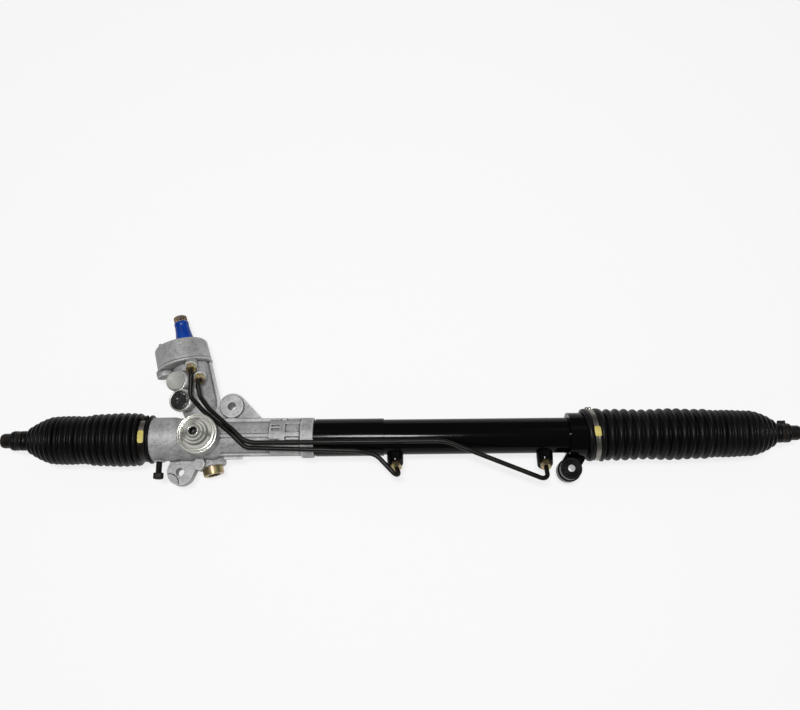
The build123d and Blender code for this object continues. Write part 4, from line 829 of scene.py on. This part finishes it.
def makeScrew(c):
    place = facing(c["foot"], c["axis"])
    top, under = c["length"] + c["headHeight"], c["length"]
    core, across, down = c["headRadius"] - c["knurlHeight"], *c["chamfer"]
    socket, soft, floor = c["socketRadius"], c["socketSoft"], top - c["socketDepth"]
    profile = ((0, -c["buried"]), (c["shank"], -c["buried"]), (c["shank"], under), (core, under), (core, top - down),
               (core - across, top), (socket + soft, top), (socket, top - soft), (socket, floor),
               (0, floor - c["socketPoint"]))
    mesh = turned("centring_screw_core", profile, place, sides=144, socket=(7, 8))
    keep("centring_screw_core", mesh, "housing", "black_oxide", ("centring_screw",))
    values = {"Turns": (under + c["threadRunOn"]) / c["pitch"], "Pitch": c["pitch"],
              "Radius": c["shank"] + c["ridgeLift"], "Ridge": c["ridge"]}
    growPiece("centring_screw_thread", threadTree, values, place @ Matrix.Translation((0, 0, -c["threadBuried"])),
              "housing", "black_oxide", ("centring_screw",))
    values = {"Teeth": c["teeth"], "Depth": c["toothDepth"], "Outer": c["headRadius"],
              "Inner": core - c["knurlRoot"], "From": under + c["knurlLow"], "To": top - c["knurlHigh"],
              "Chamfer": c["knurlChamfer"], "Rows": c["rows"], "Sides": c["teeth"] * c["toothSteps"]}
    growPiece("centring_screw_knurl", toothedTree, values, place, "housing", "black_oxide", ("centring_screw",))


shaftEnd = {"low": 0.1706, "high": 0.1781, "radius": 0.00875, "inner": 0.0081, "teeth": 36, "depth": 0.0006,
            "chamfer": 0.0006, "rows": 14, "toothSteps": 8}


def makeSerrations(c):
    values = {"Teeth": c["teeth"], "Depth": c["depth"], "Outer": c["radius"], "Inner": c["inner"],
              "From": c["low"], "To": c["high"], "Chamfer": c["chamfer"], "Rows": c["rows"],
              "Sides": c["teeth"] * c["toothSteps"]}
    growPiece("shaft_serrations", toothedTree, values, facing(towerFoot, towerAxis), "input_shaft", "bronze")


makeScrew(screw)
makeSerrations(shaftEnd)
print("screw and serrations made")


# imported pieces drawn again: the torsion bar, and the two pipes
def keepMerged(name, node):
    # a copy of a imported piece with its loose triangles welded
    item = addObject(name, frame["nodes"][node].data.copy())
    faceOut(item.data)
    return item


def makeTwistBar():
    # the torsion bar drawn again as a welded copy that takes its place
    item = keepMerged("twisting_bar", "torsion_bar")
    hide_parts("torsion_bar")
    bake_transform(item)


makeTwistBar()


# the pipes go over towards the yoke plug where they cross the tower's foot
pipeDraw = {"nodes": ("short_pipe", "long_pipe"), "most": 0.0048, "ramp": (0.045, 0.066, 0.100, 0.122),
            "reachX": 0.12, "lifted": "short_pipe", "lift": 0.0016, "liftRamp": (0.050, 0.075, 0.220, 0.255)}


def rampShare(value, ramp):
    # 0 outside the ramp's ends, 1 between its middle values, smooth on the way
    low, rise, fall, high = ramp
    share = max(0.0, min((value - low) / (rise - low), (high - value) / (high - fall), 1.0))
    return share * share * (3 - 2 * share)


def drawPipes(c):
    for node in c["nodes"]:
        item = keepMerged(node + "_drawn", node)
        for vertex in item.data.vertices:
            x, y = vertex.co.xy
            if node == c["lifted"]:
                vertex.co.y += c["lift"] * rampShare(x, c["liftRamp"])
            if x < c["reachX"]:
                vertex.co.x -= c["most"] * rampShare(y, c["ramp"])
        item.data.materials.clear()
        settle(item, "housing", "pipe_coat", (node,))


drawPipes(pipeDraw)


# shipping plugs in the two hose ports, each on a spot face of the casting
portPlugs = {
    "facing": (-0.10, -0.02, 0.995),
    "return_plug": {"centre": (-0.0076, 0.1168, 0.0362), "collar": 0.0134, "slot": "grey_plastic", "disc": 0.0119,
                    "rise": 0.0022, "rim": 0.0010, "dish": 0.0004},
    "pressure_plug": {"centre": (-0.0006, 0.0908, 0.0362), "collar": 0.0146, "slot": "black_plastic",
                      "disc": 0.0120, "rise": 0.0016, "rim": 0.0014, "dish": 0.0024},
    "cap": {"buried": 0.004, "draft": 0.0008, "neck": 0.0004, "foot": 0.0003, "soft": 0.0005, "slope": 0.0003},
    "spot": {"buried": 0.006, "gap": 0.0002, "soft": 0.0006, "mouth": 0.0009, "mouthDepth": 0.0008},
    "ribs": {"count": 6, "width": 0.0013, "height": 0.0021, "slim": 0.6, "wallGap": 0.0004, "endGap": 0.0002,
             "sunk": 0.0003, "under": 0.0001},
}


def makePlugs(c):
    cap, spot = c["cap"], c["spot"]
    for node in ("return_plug", "pressure_plug"):
        plug = c[node]
        place = facing(plug["centre"], c["facing"])
        disc, rise, collar = plug["disc"], plug["rise"], plug["collar"]
        inner, floor = disc - plug["rim"], rise - plug["dish"]
        profile = ((0, -cap["buried"]), (disc - cap["draft"], -cap["buried"]), (disc - cap["neck"], 0),
                   (disc, cap["foot"]), (disc, rise - cap["soft"]), (disc - cap["soft"], rise), (inner, rise),
                   (inner - cap["slope"], floor), (0, floor))
        keep(node + "_disc", turned(node + "_disc", profile, place), "housing", plug["slot"], (node,))
        profile = ((disc + spot["gap"], -spot["buried"]), (collar, -spot["buried"]), (collar, -spot["soft"]),
                   (collar - spot["soft"], 0), (disc + spot["mouth"], 0), (disc + spot["gap"], -spot["mouthDepth"]))
        keep(node + "_spot", turned(node + "_spot", profile, place), "housing", "machined")
    makePlugRibs(c)


def makePlugRibs(c):
    # crossed ribs moulded in the black plug's dish
    ribs, plug = c["ribs"], c["pressure_plug"]
    inner = plug["disc"] - plug["rim"] - ribs["wallGap"]
    floor, half = plug["rise"] - plug["dish"] - ribs["sunk"], ribs["width"] / 2
    box = ((0, 3, 2, 1), (4, 5, 6, 7), (0, 1, 5, 4), (1, 2, 6, 5), (2, 3, 7, 6), (3, 0, 4, 7))
    points, faces = [], []
    for turn, under in ((0, 0), (pi / 2, ribs["under"])):
        for n in range(ribs["count"]):
            across = inner * (2 * (n + 0.5) / ribs["count"] - 1)
            reach = sqrt(max(0.0, inner ** 2 - across ** 2)) - ribs["endGap"]
            first = len(points)
            for z, slim in ((floor, 1.0), (floor + ribs["height"] - under, ribs["slim"])):
                low, high = across - half * slim, across + half * slim
                points += [(x * cos(turn) - y * sin(turn), x * sin(turn) + y * cos(turn), z)
                           for x, y in ((-reach, low), (reach, low), (reach, high), (-reach, high))]
            faces += [tuple(first + k for k in face) for face in box]
    mesh = meshFrom("pressure_plug_ribs", points, faces, facing(plug["centre"], c["facing"]))
    keep("pressure_plug_ribs", mesh, "housing", plug["slot"], ("pressure_plug",), smooth=False)


makePlugs(portPlugs)


# the yoke plug: a turned cone in steps, with a hex socket in its nose whose black oxide lining is painted shade
yokeFace = {
    # radius, height over the bar's axis
    "cone": ((0.0052, 0.0487), (0.0200, 0.0385), (0.0254, 0.0385), (0.0254, 0.0398), (0.0249, 0.0404),
             (0.0237, 0.0405), (0.0234, 0.0398), (0.0229, 0.0398), (0.0227, 0.0432), (0.0222, 0.0437),
             (0.0207, 0.0439), (0.0204, 0.0435), (0.0199, 0.0447), (0.0168, 0.0480), (0.0166, 0.0487),
             (0.0160, 0.0490), (0.0128, 0.0527), (0.0126, 0.0534), (0.0120, 0.0537), (0.0096, 0.0567),
             (0.0093, 0.0576), (0.0084, 0.0584), (0.0070, 0.0589), (0.0067, 0.0604), (0.0062, 0.0610),
             (0.0055, 0.0610), (0.0052, 0.0604)),
    "socket": ((0.0, 0.0499), (0.00515, 0.0499), (0.00515, 0.0599), (0.0042, 0.0599), (0.0040, 0.0510),
               (0.0, 0.0506)),
}


def makeYokeFace(c):
    place = Matrix.Translation((yokeCentre.x, barY, barZ))
    mesh = turned("yoke_face", c["cone"], place, sides=160)
    keep("yoke_face", mesh, "housing", "machined", ("yoke_plug", "yoke_locknut"))
    # the socket is lined in black oxide to paint the shade of the deep hole
    mesh = turned("yoke_socket_shade", c["socket"], place, sides=6)
    keep("yoke_socket_shade", mesh, "housing", "black_oxide", ("yoke_plug",), smooth=False)


makeYokeFace(yokeFace)


# the ridged rubber face of the bracket's bush
bushFace = {"inner": 0.0046, "outer": 0.0118, "ridges": 4, "foot": 0.0012,
            # share of a ridge's pitch, height
            "ridge": ((0.0, 0.0002), (0.3, 0.0009), (0.62, 0.0009), (0.9, 0.0002))}


def makeBushFace(c):
    low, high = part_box("bracket_sleeve")
    place = Matrix.Translation(((low.x + high.x) / 2, (low.y + high.y) / 2, high.z))
    step = (c["outer"] - c["inner"]) / c["ridges"]
    profile = [(c["inner"], -c["foot"])]
    for n in range(c["ridges"]):
        profile += [(c["inner"] + step * n + step * share, height) for share, height in c["ridge"]]
    profile += [(c["outer"], 0.0), (c["outer"], -c["foot"])]
    keep("bush_face", turned("bush_face", profile[::-1], place), "housing", "rubber")


makeBushFace(bushFace)
print("plugs made")


# the casting: the machined solid with its edges rounded as a mould leaves them
casting = {"voxel": 0.00072, "passes": 2, "factor": 0.5, "share": 0.42, "spotReach": 0.0185, "spotHeight": 0.02,
           "spotSunk": 0.0005}


def spotFace(mesh, centre, axis, c):
    # what stands above a port's face is planed down to it
    centre, axis = Vector(centre), Vector(axis).normalized()
    for vertex in mesh.vertices:
        gap = vertex.co - centre
        height = gap.dot(axis)
        if 0 < height < c["spotHeight"] and (gap - axis * height).length < c["spotReach"]:
            vertex.co -= axis * (height + c["spotSunk"])


def roundCasting(c):
    item = keepMerged("casting", "rack_housing")
    remesh = item.modifiers.new("remesh", "REMESH")
    remesh.mode, remesh.voxel_size, remesh.adaptivity = "VOXEL", c["voxel"], 0.0
    soften = item.modifiers.new("soften", "SMOOTH")
    soften.factor, soften.iterations = c["factor"], c["passes"]
    item.modifiers.new("reduce", "DECIMATE").ratio = c["share"]
    mesh = frozen(item)
    mesh.materials.clear()
    for node in ("return_plug", "pressure_plug"):
        spotFace(mesh, portPlugs[node]["centre"], portPlugs["facing"], c)
    settle(item, "housing", "cast", ("rack_housing",))
    print("casting faces:", len(mesh.polygons))


roundCasting(casting)
print("casting rounded")


# stage: a pale floor, soft lamps and an even world
stage = {
    "floorZ": cadBox[0].z - 0.0002,
    "floorHalf": 60.0,
    "floorTone": (0.82, 0.82, 0.82, 1),
    "floorGlow": 0.8,
    "worldTone": (1.0, 1.0, 1.0, 1),
    "worldStrength": 0.165,
    "worldShown": 0.95,         # what a camera ray that meets nothing shows
    "lamps": (
        # place, size x, size y, watts
        ((0.20, -0.05, 1.9), 0.34, 0.18, 26.5),
        ((-0.9, 1.3, 2.2), 1.6, 1.2, 4),
        ((1.6, 0.9, 2.0), 1.6, 1.2, 3),
    ),
}


def makeStage(c):
    mesh = bpy.data.meshes.new("floor")
    half = c["floorHalf"]
    corners = [(x * half, y * half, c["floorZ"]) for x, y in ((-1, -1), (1, -1), (1, 1), (-1, 1))]
    mesh.from_pydata(corners, [], [(0, 1, 2, 3)])
    floor = addObject("floor", mesh)
    finish, tree, shader = newFinish("floor", Roughness=0.9, Base_Color=c["floorTone"])
    glow = tree.nodes.new("ShaderNodeEmission")
    rays = tree.nodes.new("ShaderNodeLightPath")
    seen = maths(tree, "MAXIMUM", rays.outputs["Is Camera Ray"], rays.outputs["Is Glossy Ray"])
    seen = maths(tree, "MAXIMUM", seen, rays.outputs["Is Transmission Ray"])
    blend = tree.nodes.new("ShaderNodeMixShader")
    feed(tree, blend, ((0, maths(tree, "MULTIPLY", seen, c["floorGlow"])), (1, shader.outputs[0]),
                       (2, glow.outputs[0])))
    feed(tree, tree.nodes["Material Output"], [("Surface", blend.outputs[0])])
    mesh.materials.append(finish)
    world = bpy.data.worlds.new("studio")
    scene.world = world
    world.use_nodes = True
    tree = world.node_tree
    seen = tree.nodes.new("ShaderNodeLightPath").outputs["Is Camera Ray"]
    feed(tree, tree.nodes["Background"], (
        ("Color", c["worldTone"]),
        ("Strength", spread(tree, seen, 0.0, 1.0, c["worldStrength"], c["worldShown"]))))
    aim = Vector(camera["target"])
    for number, (place, width, depth, watts) in enumerate(c["lamps"]):
        data = bpy.data.lights.new(f"lamp{number}", "AREA")
        data.shape, data.size, data.size_y, data.energy = "RECTANGLE", width, depth, watts
        lamp = addObject(f"lamp{number}", data)
        lamp.location = place
        lamp.rotation_mode = "QUATERNION"
        lamp.rotation_quaternion = (aim - Vector(place)).to_track_quat("-Z", "Y")


makeStage(stage)
print("stage set")
